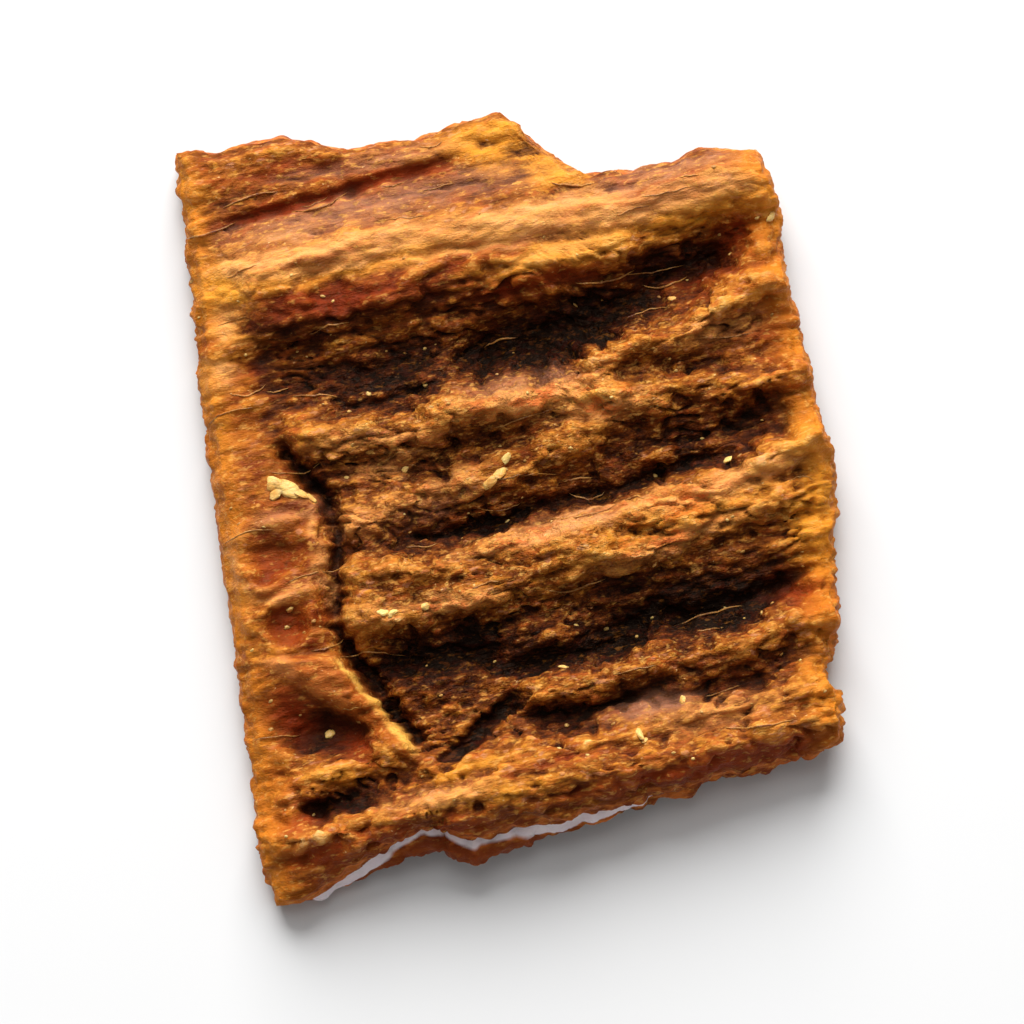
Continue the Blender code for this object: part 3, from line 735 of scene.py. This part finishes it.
def paint_masks(mesh, points, lattice, uv, plan_xy):
    """Stores, at each point, how hollow the place is, for its painted shade, and how much of each colour it
    has.
    """
    column, row, level = lattice
    u, v = uv
    x, y = plan_xy
    hollow = np.zeros(len(points))
    pocket = np.zeros(len(points))
    # These hollow and pocket values become painted shade in hollows and crevices and painted light on
    # crests.
    for side, facing in ((TOP_LEVEL, 1.0), (0, -1.0)):
        picked = level == side
        cells = row[picked], column[picked]
        grid = np.zeros((ROWS + 1, COLUMNS + 1))
        grid[cells] = facing * points[picked, 2]
        for found, reach in ((hollow, WIDE_REACH), (pocket, NEAR_REACH)):
            about = blurred(blurred(grid, reach), reach) - grid
            found[picked] = about[cells]
    inland = smooth(0.0, 0.9, from_edge(u, v))
    share = level / TOP_LEVEL
    ply = (v == 0) * through(PLY_OUT, x)
    outer = np.isclose(share, SKIN_OUTER) * (1 - SKIN_OUTER_HIDDEN * smooth(*SKIN_WIDE_LEDGE, ply))
    ledge = (v == 0) * (np.isclose(share, SKIN_INNER) + outer)
    left, right, front, back = MIDDLE
    rim_y = y + PEEL_RIM_STRAY * wobble(0.9 * x, 0.9 * y, RIM_LAYER)
    masks = {
        "hollow": hollow * inland,
        "pocket": pocket * inland,
        # The cut edge: partly its own paler colour, partly painted light glowing through the thin edge.
        "cut_edge": smooth(2.4, 0.0, np.minimum(u, 1 - u) * 2 * HALF_WIDTH),
        "side_wall": ((level > 0) & (level < TOP_LEVEL)).astype(float),
        "shelf": ply * smooth(PLY_SHARE + PLY_FADE, PLY_SHARE - PLY_FADE, share),
        "skin": ledge * smooth(*SKIN_LEFT, x) * smooth(*SKIN_RIGHT, x),
        "lip": lip(x, y),
        "peel": peel(x, y),
        "peel_rim": sum(band(x, rim_y, *rim) for rim in PEEL_RIMS),
        "middle": smooth(*left, x) * smooth(*right, x) * smooth(*front, y) * smooth(*back, y),
    }
    masks.update((name, painted(patches, x, y)) for name, patches in PATCHES.items())
    for name, values in masks.items():
        kept = mesh.attributes.new(name, "FLOAT", "POINT")
        kept.data.foreach_set("value", values.astype(np.float32))


def settle(treat):
    """Sets the treat where the solid is, in metres, and says how far that is from its own frame."""
    low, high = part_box(NODE)
    points = points_of(treat.data) * MM
    middle = (points.min(axis=0) + points.max(axis=0)) / 2
    shift = np.array(((low.x + high.x) / 2 - middle[0], (low.y + high.y) / 2 - middle[1], low.z))
    set_points(treat.data, points + shift)
    return shift


def thin_underside(treat, level):
    """Merges small faces of the underside, where nothing fine shows."""
    group = treat.vertex_groups.new(name="underside")
    group.add(np.flatnonzero(level == 0).tolist(), 1.0, "REPLACE")
    thinned = treat.modifiers.new("thinned", "DECIMATE")
    thinned.ratio = UNDERSIDE_KEPT
    thinned.vertex_group = group.name
    deselect()
    treat.select_set(True)
    bpy.context.view_layer.objects.active = treat
    bpy.ops.object.modifier_apply(modifier=thinned.name)
    treat.vertex_groups.clear()
    points = points_of(treat.data)
    points[:, 2] = np.maximum(points[:, 2], 0.0)
    set_points(treat.data, points)


def linear(red, green, blue):
    """A colour given as it shows on a screen, 0 to 255, as the shader's own linear values."""
    def one(value):
        value /= 255
        return value / 12.92 if value <= 0.04045 else ((value + 0.055) / 1.055) ** 2.4

    return one(red), one(green), one(blue), 1.0


# The meat's colours, as they show under white light, from the darkest folds to the palest fibres.
# The tone that picks these colours carries painted shade in the hollows and painted light on the crests.
TONES = (
    (0.00, linear(20, 5, 1)),
    (0.20, linear(62, 22, 4)),
    (0.40, linear(108, 50, 10)),
    (0.58, linear(150, 82, 22)),
    (0.76, linear(188, 118, 42)),
    (0.90, linear(210, 148, 68)),
    (1.00, linear(232, 186, 112)),
)
# The noise patterns of the surfaces: their features' size in millimetres, detail and seed, and then their
# roughness and distortion, where these aren't 0.55 and 0.
PATTERNS = {
    "streaks": ((2.6, 0.42, 0.6), 4, 0, 0.62, 0.4),
    "fine": ((0.7, 0.18, 0.2), 3, 3, 0.7),
    "blotches": ((4.0, 1.8, 2.0), 3, 7),
    "specks": ((0.36, 0.22, 0.3), 2, 11, 0.7),
    "rust": ((1.1, 0.5, 0.5), 2, 51),
    "amber": ((0.9, 0.45, 0.5), 2, 57),
    "rose": ((0.8, 0.4, 0.4), 2, 61),
    "bruises": ((1.5, 0.9, 0.9), 3, 67, 0.65),
    "wall": ((1.3, 0.6, 0.5), 3, 77, 0.6),
    "olive": ((1.8, 0.9, 0.8), 2, 19),
    "flecks": ((0.6, 0.28, 0.3), 2, 71, 0.6),
    "glints": ((0.7, 0.36, 0.4), 2, 83),
    "gloss": ((1.2, 0.6, 0.6), 3, 23),
    "grain": ((0.4, 0.13, 0.14), 3, 29, 0.7),
    "crumb": ((0.42, 0.3, 0.3), 2, 37, 0.6, 0.6),
    "scrap": ((1.4, 1.4, 1.4), 1, 41),
    "scrap_fibres": ((0.3, 0.15, 0.2), 3, 43),
}

# How much each pattern and mask lightens the meat, on a scale from 0, darkest, to 1, palest. The tan mask
# takes the tone part of the way to its own, and the others come before it or after it.
# Hollow and pocket gains: painted shade in hollows and crevices, painted light on crests, partly darker
# meat.
HOLLOW_TONES = (-1.2, 1.5, 0.66, 0.20)
POCKET_GAIN = -0.8
POCKET_GAIN_MIDDLE = 0.25
PATTERN_MEAN = 0.5
PATTERN_GAINS = (("streaks", 0.55), ("fine", 0.5), ("blotches", 0.3))
SPECK_GAIN = 0.3
SPECK_GAIN_MIDDLE = 0.35
# The dark patches' gain is partly painted shade, and the gold patches' gain partly painted light.
GAINS_BEFORE_TAN = (("dark", -0.46), ("gold", 0.13))
# The cut edge's gain is partly painted light glowing through the thin edge.
# The side wall's gain pales the cut walls as painted light, where the light from behind leaves the front
# wall in shade.
GAINS_AFTER_TAN = (("side_wall", 0.1), ("peel", -0.06), ("lip", -0.06), ("cut_edge", 0.08))
# The tan pull raises the tone on shaded slopes toward a pale tan: partly painted light.
TAN_TONE = 0.92
TAN_SHARE = 0.5

# Shares worked out from a value: its low and high and, where they aren't 0 and 1, the shares at these.
# The tone's shares follow its painted shade and light as well as the meat's darkness: rust, flecks and
# glints go between darker and paler copies by them.
SHARES = {
    "shade": ("tone", 0.1, 0.7),
    "lit": ("tone", 0.1, 0.6),
    "rust_lit": ("tone", 0.0, 0.8),
    "amber_lit": ("tone", 0.25, 0.6),
    "rose_lit": ("tone", 0.3, 0.6),
    "pale_lit": ("tone", 0.3, 0.6, 0.1, 0.7),
    "wall_patches": ("wall", 0.38, 0.62),
}

# The tints laid over the meat one after another: the colour, or a share and the colours that it goes
# between; what breaks the tint up, with its low and high values and the share at each; and where it lies.
Tint = namedtuple("Tint", "colour breaks low high least most lies blend", defaults=((), "MIX"))
TINTS = (
    Tint(("rust_lit", linear(60, 14, 4), linear(186, 84, 30)), "rust", 0.52, 0.66, 0.0, 0.5),
    Tint(linear(214, 142, 46), "amber", 0.54, 0.68, 0.0, 0.55, ("amber_lit",)),
    Tint(linear(206, 146, 112), "rose", 0.58, 0.70, 0.0, 0.4, ("rose_lit",)),
    # Gold, partly painted light on the first crest's shaded front slope.
    Tint(linear(224, 148, 40), "streaks", 0.3, 0.6, 0.4, 0.9, ("gold", "shade")),
    # Tan, partly painted light along the crests.
    Tint(linear(236, 166, 98), "streaks", 0.3, 0.6, 0.45, 0.95, ("tan", "shade")),
    Tint(linear(158, 106, 80), "streaks", 0.3, 0.6, 0.35, 0.85, ("grey",)),
    Tint(linear(160, 82, 24), "blotches", 0.3, 0.7, 0.1, 0.5, ("lip",)),
    Tint(linear(140, 46, 10), "fine", 0.25, 0.6, 0.5, 0.95, ("red",)),
    Tint(linear(112, 38, 12), "bruises", 0.50, 0.62, 0.0, 0.75, ("lip",)),
    Tint(linear(168, 80, 22), "streaks", 0.3, 0.7, 0.35, 0.8, ("peel",)),
    Tint(linear(232, 176, 78), "blotches", 0.35, 0.6, 0.2, 0.9, ("peel_rim",)),
    Tint(("wall_patches", linear(112, 38, 10), linear(214, 114, 42)), "streaks", 0.3, 0.7, 0.45, 0.85,
         ("side_wall",)),
    # The cut edge: partly its own colour, partly painted light glowing through the thin edge.
    Tint(linear(206, 120, 28), "blotches", 0.35, 0.65, 0.2, 0.8, ("cut_edge",)),
    Tint(linear(108, 84, 22), "olive", 0.42, 0.62, 0.05, 0.6, ("middle",), "OVERLAY"),
    Tint(("lit", linear(80, 38, 8), linear(216, 152, 70)), "flecks", 0.55, 0.68, 0.0, 0.6),
    Tint(("lit", linear(110, 64, 16), linear(214, 158, 80)), "glints", 0.60, 0.72, 0.0, 0.7, ("middle",)),
    Tint(linear(236, 200, 140), "specks", 0.68, 0.80, 0.0, 1.0, ("pale_lit",)),
    Tint(linear(128, 54, 20), "shelf", 0.4, 0.8, 0.0, 0.8),
    Tint(linear(250, 238, 242), "ragged_skin", 0.52, 0.76, 0.0, 0.92),
)

# Pale chips of dried fat on the top: x, y, length, width, and how far each is turned, in degrees.
CHIPS = (
    (-12.9, 4.2, 1.1, 0.9, -10), (-12.3, 3.8, 1.7, 0.9, -40), (-11.6, 3.4, 1.1, 0.7, -35),
    (-11.0, 3.0, 0.8, 0.4, -30), (-12.9, 3.6, 0.9, 0.5, 20),
    (-0.9, 1.7, 1.1, 0.5, 35), (-0.2, 2.2, 1.2, 0.6, 50), (0.3, 2.9, 0.8, 0.4, 42),
    (12.6, 0.5, 0.6, 0.45, 0), (11.3, 10.3, 0.5, 0.35, 0), (-12.6, -10.2, 0.7, 0.45, 20),
    (4.7, -14.0, 0.8, 0.35, 110), (4.9, -14.4, 0.5, 0.3, 60), (7.4, -12.5, 0.6, 0.35, 80),
    (1.2, -9.3, 0.6, 0.35, 20), (-8.2, -4.4, 0.7, 0.4, -8), (-7.6, -4.5, 0.6, 0.35, 10),
    (-5.8, -4.5, 0.6, 0.4, 0), (-13.4, -3.0, 0.5, 0.35, 40), (-5.5, 3.6, 0.6, 0.35, 30),
    (17.7, 13.6, 0.7, 0.45, 15),
)
# Small crumbs: how many, where, how long, how wide for their length, and how far they are turned.
CRUMBS = 120
CRUMB_PLACES = (-16, 17)
CRUMB_SIZE = (0.14, 0.34)
CRUMB_WIDTH = (0.5, 0.9)
CRUMB_TURN = (-30, 40)
CRUMB_SEED = 5

# Loose fibres on the top: how many, where, their lengths and half thicknesses, how far they stray from X,
# how much they curl sideways and how high they stand off the meat.
STRANDS = 50
STRAND_X = (-16, 17)
STRAND_Y = (-16.5, 22)
STRAND_SPAN = (1.2, 4.2)
STRAND_HALF = (0.03, 0.065)
STRAND_STRAY = 6.0
STRAND_CURL = 0.2
STRAND_ARCH = 0.12
STRAND_SWAY = 0.12
STRAND_SEED = 12
STRAND_STATIONS = 10
STRAND_SIDES = 6

CHIP_TONES = (linear(212, 150, 72), linear(244, 204, 124), linear(228, 174, 92))
CRUMB_TONES = (linear(150, 96, 40), linear(220, 178, 104), linear(196, 146, 72))
STRAND_TONES = (linear(96, 46, 14), linear(168, 106, 42), linear(196, 142, 76))


def on_top(treat, shift, x, y):
    """Where the top of the treat is at a place, in millimetres: its height and which way it faces."""
    at = Vector((x, y, 20.0)) * MM + Vector(shift)
    hit, point, normal, _ = treat.ray_cast(at, Vector((0, 0, -1)))
    return (point.z / MM, normal) if hit else (None, None)


def add_copy(model, name):
    made = model.copy()
    made.data = model.data.copy()
    made.name = made.data.name = name
    bpy.context.scene.collection.objects.link(made)
    return made


def joined(pieces, model, name):
    """Joins copies into one piece, without the model that they were copied from."""
    bpy.data.objects.remove(model)
    deselect()
    for piece in pieces:
        piece.select_set(True)
    bpy.context.view_layer.objects.active = pieces[0]
    bpy.ops.object.join()
    whole = bpy.context.object
    whole.name = whole.data.name = name
    whole.data.shade_smooth()
    return whole


def crumb_places():
    """Where the small crumbs lie, in the same form as the chips."""
    draw = np.random.default_rng(CRUMB_SEED)
    places = []
    for _ in range(CRUMBS):
        x, y = draw.uniform(*CRUMB_PLACES), draw.uniform(*CRUMB_PLACES)
        length = draw.uniform(*CRUMB_SIZE)
        places.append((x, y, length, length * draw.uniform(*CRUMB_WIDTH), draw.uniform(*CRUMB_TURN)))
    return places


def add_chips(treat, shift, name, wanted, subdivisions):
    """Chips, each a squashed uneven bead half sunk in the meat."""
    deselect()
    bpy.ops.mesh.primitive_ico_sphere_add(subdivisions=subdivisions, radius=0.5, location=(0, 0, 0))
    model = bpy.context.object
    bead = points_of(model.data)
    chips = []
    for number, (x, y, long, wide, turn) in enumerate(wanted):
        z, normal = on_top(treat, shift, x, y)
        if z is None:
            continue
        dents = 0.4 * wobble(1.9 * bead[:, 0] + 9 * number, 1.9 * bead[:, 1], DENT_LAYERS[0])
        near = 4.0 * bead
        dents += 0.3 * wobble(near[:, 0] + 9 * number, near[:, 1], DENT_LAYERS[1], near[:, 2])
        scaled = bead * (1 + dents)[:, None] * (long, wide, 0.35 * min(long, wide) + 0.06)
        side = normal.cross(Vector((1, 0, 0))).normalized()
        face = Matrix((side.cross(normal), side, normal)).transposed()
        face = face @ Matrix.Rotation(math.radians(turn), 3, "Z")
        points = scaled @ np.array(face).T + (x, y, z)
        chip = add_copy(model, "chip")
        set_points(chip.data, points * MM + shift)
        chips.append(chip)
    return joined(chips, model, name)


def add_strands(treat, shift):
    """Loose fibres: thin spindles that follow the top and stand a little off it."""
    draw = np.random.default_rng(STRAND_SEED)
    deselect()
    bpy.ops.mesh.primitive_grid_add(x_subdivisions=STRAND_STATIONS, y_subdivisions=STRAND_SIDES, size=1.0)
    model = bpy.context.object
    flat = points_of(model.data)
    station = flat[:, 0] + 0.5
    angle = 2 * math.pi * flat[:, 1]
    made = []
    while len(made) < STRANDS:
        x, y = draw.uniform(*STRAND_X), draw.uniform(*STRAND_Y)
        span, half = draw.uniform(*STRAND_SPAN), draw.uniform(*STRAND_HALF)
        turn = math.radians(draw.normal(0, STRAND_STRAY))
        curl, arch, phase = draw.normal(0, STRAND_CURL), draw.uniform(0, STRAND_ARCH), draw.uniform(0, 100)
        t = np.linspace(0, 1, STRAND_STATIONS + 1)
        sideways = curl * np.sin(math.pi * t) + STRAND_SWAY * wobble(6 * t, phase, SWAY_LAYER)
        path_x = x + (t - 0.5) * span * math.cos(turn)
        path_y = y + (t - 0.5) * span * math.sin(turn) + sideways
        tops = [on_top(treat, shift, one_x, one_y)[0] for one_x, one_y in zip(path_x, path_y)]
        if None in tops:
            continue
        tops = np.array(tops)
        path_z = np.maximum(tops, np.convolve(np.pad(tops, 1, mode="edge"), (0.25, 0.5, 0.25), "valid"))
        path_z = path_z + 0.4 * half + arch * np.sin(math.pi * t) ** 2 * min(1.0, span / 4)
        thick = half * (np.sin(math.pi * np.clip(0.04 + 0.92 * t, 0, 1)) ** 0.6) * (t > 0) * (t < 1)
        at = np.rint(station * STRAND_STATIONS).astype(int)
        points = np.stack((
            path_x[at],
            path_y[at] + thick[at] * np.cos(angle),
            path_z[at] + thick[at] * np.sin(angle),
        ), axis=1)
        strand = add_copy(model, "strand")
        set_points(strand.data, points * MM + shift)
        made.append(strand)
    whole = joined(made, model, "loose_fibres")
    bpy.ops.object.mode_set(mode="EDIT")
    bpy.ops.mesh.select_all(action="SELECT")
    bpy.ops.mesh.remove_doubles(threshold=0.002 * MM)
    bpy.ops.mesh.normals_make_consistent(inside=False)
    bpy.ops.object.mode_set(mode="OBJECT")
    return whole


class Shader:
    """Nodes of one material, added and joined by short calls."""

    def __init__(self, name):
        self.material = bpy.data.materials.new(name)
        self.material.use_nodes = True
        self.tree = self.material.node_tree
        self.surface = self.tree.nodes["Principled BSDF"]
        self.found = {}

    def add(self, kind, inputs, **settings):
        """A node with its settings, and with its inputs set or joined, by name."""
        node = self.tree.nodes.new(kind)
        for name, value in settings.items():
            setattr(node, name, value)
        self.fill(node, inputs)
        return node

    def fill(self, node, inputs):
        for name, value in inputs.items():
            self.join(value, node.inputs[name])

    def join(self, source, socket):
        """Joins a named pattern or mask, a node's first output, a socket or a plain value to a socket."""
        if isinstance(source, str):
            source = self.named(source)
        if isinstance(source, bpy.types.Node):
            source = source.outputs[0]
        if isinstance(source, bpy.types.NodeSocket):
            self.tree.links.new(source, socket)
        else:
            socket.default_value = source

    def named(self, name):
        """A value found before, a noise pattern, or else one of the masks kept in the mesh."""
        if name not in self.found:
            if name in PATTERNS:
                self.found[name] = self.noise(*PATTERNS[name])
            else:
                mask = self.add("ShaderNodeAttribute", {}, attribute_name=name)
                self.found[name] = mask.outputs["Fac"]
        return self.found[name]

    def math(self, operation, first, second, third=0.0):
        return self.add("ShaderNodeMath", {0: first, 1: second, 2: third}, operation=operation)

    def plus(self, value, change, gain):
        """The value with gain times the change added."""
        return self.math("MULTIPLY_ADD", change, gain, value)

    def mix(self, share, first, second, blend="MIX"):
        inputs = {"Factor": share, "A": first, "B": second}
        return self.add("ShaderNodeMix", inputs, data_type="RGBA", blend_type=blend).outputs["Result"]

    def mapped(self, source, low, high, to_low=0.0, to_high=1.0):
        """A value turned into a share, evenly from low to high and level beyond them."""
        inputs = {"Value": source, "From Min": low, "From Max": high, "To Min": to_low, "To Max": to_high}
        return self.add("ShaderNodeMapRange", inputs, interpolation_type="SMOOTHSTEP")

    def noise(self, size, detail, seed, roughness=0.55, distortion=0.0):
        stretched = self.add("ShaderNodeMapping", {
            "Vector": self.add("ShaderNodeTexCoord", {}).outputs["Object"],
            "Scale": [1 / (axis * MM) for axis in size],
            "Location": (seed, seed * 1.7, seed * 0.6),
        })
        inputs = {"Vector": stretched, "Scale": 1.0, "Detail": detail, "Roughness": roughness}
        return self.add("ShaderNodeTexNoise", {**inputs, "Distortion": distortion})

    def ramp(self, source, stops):
        """The colours of the stops, by a value from 0 to 1."""
        node = self.add("ShaderNodeValToRGB", {0: source})
        stack = node.color_ramp.elements
        while len(stack) < len(stops):
            stack.new(0.5)
        for element, (position, colour) in zip(stack, stops):
            element.position = position
            element.color = colour
        return node

    def bumped(self, height, distance, strength, **under):
        inputs = {"Height": height, "Distance": distance, "Strength": strength, **under}
        return self.add("ShaderNodeBump", inputs)

    def finish(self, inputs):
        """Sets or joins the surface's inputs, by name, and gives the material."""
        self.fill(self.surface, inputs)
        return self.material


def meat_tone(s):
    """How dark the meat is with its painted shade and light, from 0 in the deepest folds to 1 on the palest
    fibres.
    """
    # Painted shade in the hollows and crevices and painted light on the crests, partly the meat's own
    # darker folds.
    tone = s.mapped("hollow", *HOLLOW_TONES)
    tone = s.plus(tone, "pocket", s.plus(POCKET_GAIN, "middle", POCKET_GAIN_MIDDLE))
    for name, gain in PATTERN_GAINS:
        tone = s.plus(tone, s.math("SUBTRACT", name, PATTERN_MEAN), gain)
    for name, gain in GAINS_BEFORE_TAN:
        tone = s.plus(tone, name, gain)
    # The tan patches pull the tone up, partly as painted light on shaded slopes.
    tanned = s.math("MULTIPLY", "tan", TAN_SHARE)
    tone = s.plus(tone, s.math("SUBTRACT", TAN_TONE, tone), tanned)
    speck_gain = s.plus(SPECK_GAIN, "middle", SPECK_GAIN_MIDDLE)
    tone = s.plus(tone, s.math("SUBTRACT", "specks", PATTERN_MEAN), speck_gain)
    for name, gain in GAINS_AFTER_TAN:
        tone = s.plus(tone, name, gain)
    return tone


def meat_colour(s, tone):
    """The meat's colour: brown by its tone, which carries painted shade and light, with the tints laid over
    it.
    """
    s.found["tone"] = tone
    s.found["ragged_skin"] = s.plus("skin", s.math("SUBTRACT", "blotches", PATTERN_MEAN), 0.7)
    for name, share in SHARES.items():
        s.found[name] = s.mapped(*share)
    colour = s.ramp(tone, TONES)
    for tint in TINTS:
        share = s.mapped(tint.breaks, tint.low, tint.high, tint.least, tint.most)
        for name in tint.lies:
            share = s.math("MULTIPLY", share, name)
        goes_between = isinstance(tint.colour[0], str)
        over = s.mix(*tint.colour) if goes_between else tint.colour
        colour = s.mix(share, colour, over, tint.blend)
    return colour


def dried_meat():
    s = Shader("dried_meat")
    tone = meat_tone(s)
    crumb = s.math("MULTIPLY", "crumb", s.plus(0.3, "middle", 0.7))
    return s.finish({
        "Base Color": meat_colour(s, tone),
        "Roughness": s.plus(s.mapped("gloss", 0.3, 0.7, 0.42, 0.7), "lip", -0.08),
        "Specular IOR Level": 0.12,
        "Specular Tint": (1.0, 0.82, 0.62, 1),
        "Subsurface Weight": 0.12,
        "Subsurface Radius": (1.0, 0.38, 0.14),
        "Subsurface Scale": 0.0006,
        "Normal": s.bumped("grain", 0.00012, 0.9, Normal=s.bumped(crumb, 0.0003, 0.9)),
    })


def pale_scrap(name, tones):
    """Dried fat and fibre: pale, a little clear, each scrap of its own tone."""
    s = Shader(name)
    fibres = s.mapped("scrap_fibres", 0.35, 0.65)
    colour = s.mix(s.mapped("scrap", 0.35, 0.65), tones[0], tones[1])
    return s.finish({
        "Base Color": s.mix(s.math("MULTIPLY", fibres, 0.5), colour, tones[2]),
        "Roughness": 0.42,
        "Specular IOR Level": 0.3,
        "Subsurface Weight": 0.3,
        "Subsurface Radius": (1.0, 0.6, 0.3),
        "Subsurface Scale": 0.0006,
        "Normal": s.bumped(fibres, 0.00004, 0.6),
    })


# The picture: how wide the camera's frame is, in millimetres, how the treat is turned in it, and from
# how far off the upright it is seen.
FRAME_WIDTH = 58.0
PHOTO_TURN = math.radians(11)
VIEW_RIGHT = math.radians(4)
VIEW_DOWN = math.radians(8)
VIEW_HEIGHT = 3.0
CAMERA_LENS = 200.0
SENSOR = 36.0

# The light: each lamp's place up the picture, to its right and above the ground, in metres, and then its
# size in metres and its power in watts. The ground is wide enough to fill the picture.
LAMPS = {"window": (0.61, -0.03, 0.43, 0.66, 12.4), "fill": (0.3, 0.0, 0.8, 0.5, 1.2)}
SKY_STRENGTH = 0.285
GROUND_SIZE = 3.0
GROUND_TONE = 0.69

photo_right = Vector((math.cos(PHOTO_TURN), -math.sin(PHOTO_TURN), 0.0))
photo_up = Vector((math.sin(PHOTO_TURN), math.cos(PHOTO_TURN), 0.0))


def aimed(name, data, place, at, up):
    """A camera or light at a place, turned to look at a point."""
    made = bpy.data.objects.new(name, data)
    bpy.context.scene.collection.objects.link(made)
    back = (place - at).normalized()
    side = up.cross(back).normalized()
    turn = Matrix((side, back.cross(side), back)).transposed()
    made.matrix_world = Matrix.Translation(place) @ turn.to_4x4()
    return made


def add_camera(shift):
    """The camera looks at the origin of the treat's own frame, which is shift from the frame's."""
    data = bpy.data.cameras.new("camera")
    data.lens = CAMERA_LENS
    data.sensor_width = SENSOR
    data.clip_start = 0.01
    toward = Vector((0, 0, 1)) + photo_right * math.tan(VIEW_RIGHT) - photo_up * math.tan(VIEW_DOWN)
    at = Vector((0, 0, VIEW_HEIGHT)) * MM + Vector(shift)
    place = at + toward.normalized() * (FRAME_WIDTH * MM * CAMERA_LENS / SENSOR)
    bpy.context.scene.camera = aimed("camera", data, place, at, photo_up)


def add_lamp(name, up, right, height, size, power):
    data = bpy.data.lights.new(name, "AREA")
    data.shape = "DISK"
    data.size = size
    data.energy = power
    place = photo_up * up + photo_right * right + Vector((0, 0, height))
    aimed(name, data, place, Vector((0, 0, 0)), photo_right)


def add_stage():
    """A pale ground and soft white light that comes mostly from beyond the picture's top edge."""
    deselect()
    bpy.ops.mesh.primitive_plane_add(size=GROUND_SIZE, location=(0, 0, 0))
    ground = bpy.context.object
    ground.name = ground.data.name = "ground"
    matt = {"Base Color": (GROUND_TONE, GROUND_TONE, GROUND_TONE, 1), "Roughness": 0.9}
    ground.data.materials.append(Shader("white_ground").finish({**matt, "Specular IOR Level": 0.1}))
    world = bpy.data.worlds.new("sky")
    bpy.context.scene.world = world
    world.use_nodes = True
    sky = world.node_tree.nodes["Background"]
    sky.inputs["Color"].default_value = (1.0, 1.0, 1.0, 1)
    sky.inputs["Strength"].default_value = SKY_STRENGTH
    for name, values in LAMPS.items():
        add_lamp(name, *values)
    bpy.context.scene.view_settings.view_transform = "Standard"


treat, shift = add_treat()
treat.data.materials.append(dried_meat())
chips = add_chips(treat, shift, "pale_chips", CHIPS, 3)
chips.data.materials.append(pale_scrap("pale_chip", CHIP_TONES))
crumbs = add_chips(treat, shift, "small_crumbs", crumb_places(), 2)
crumbs.data.materials.append(pale_scrap("small_crumb", CRUMB_TONES))
strands = add_strands(treat, shift)
strands.data.materials.append(pale_scrap("loose_fibre", STRAND_TONES))
for piece in (treat, chips, crumbs, strands):
    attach(piece, "root")
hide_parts(NODE)
add_stage()
add_camera(shift)
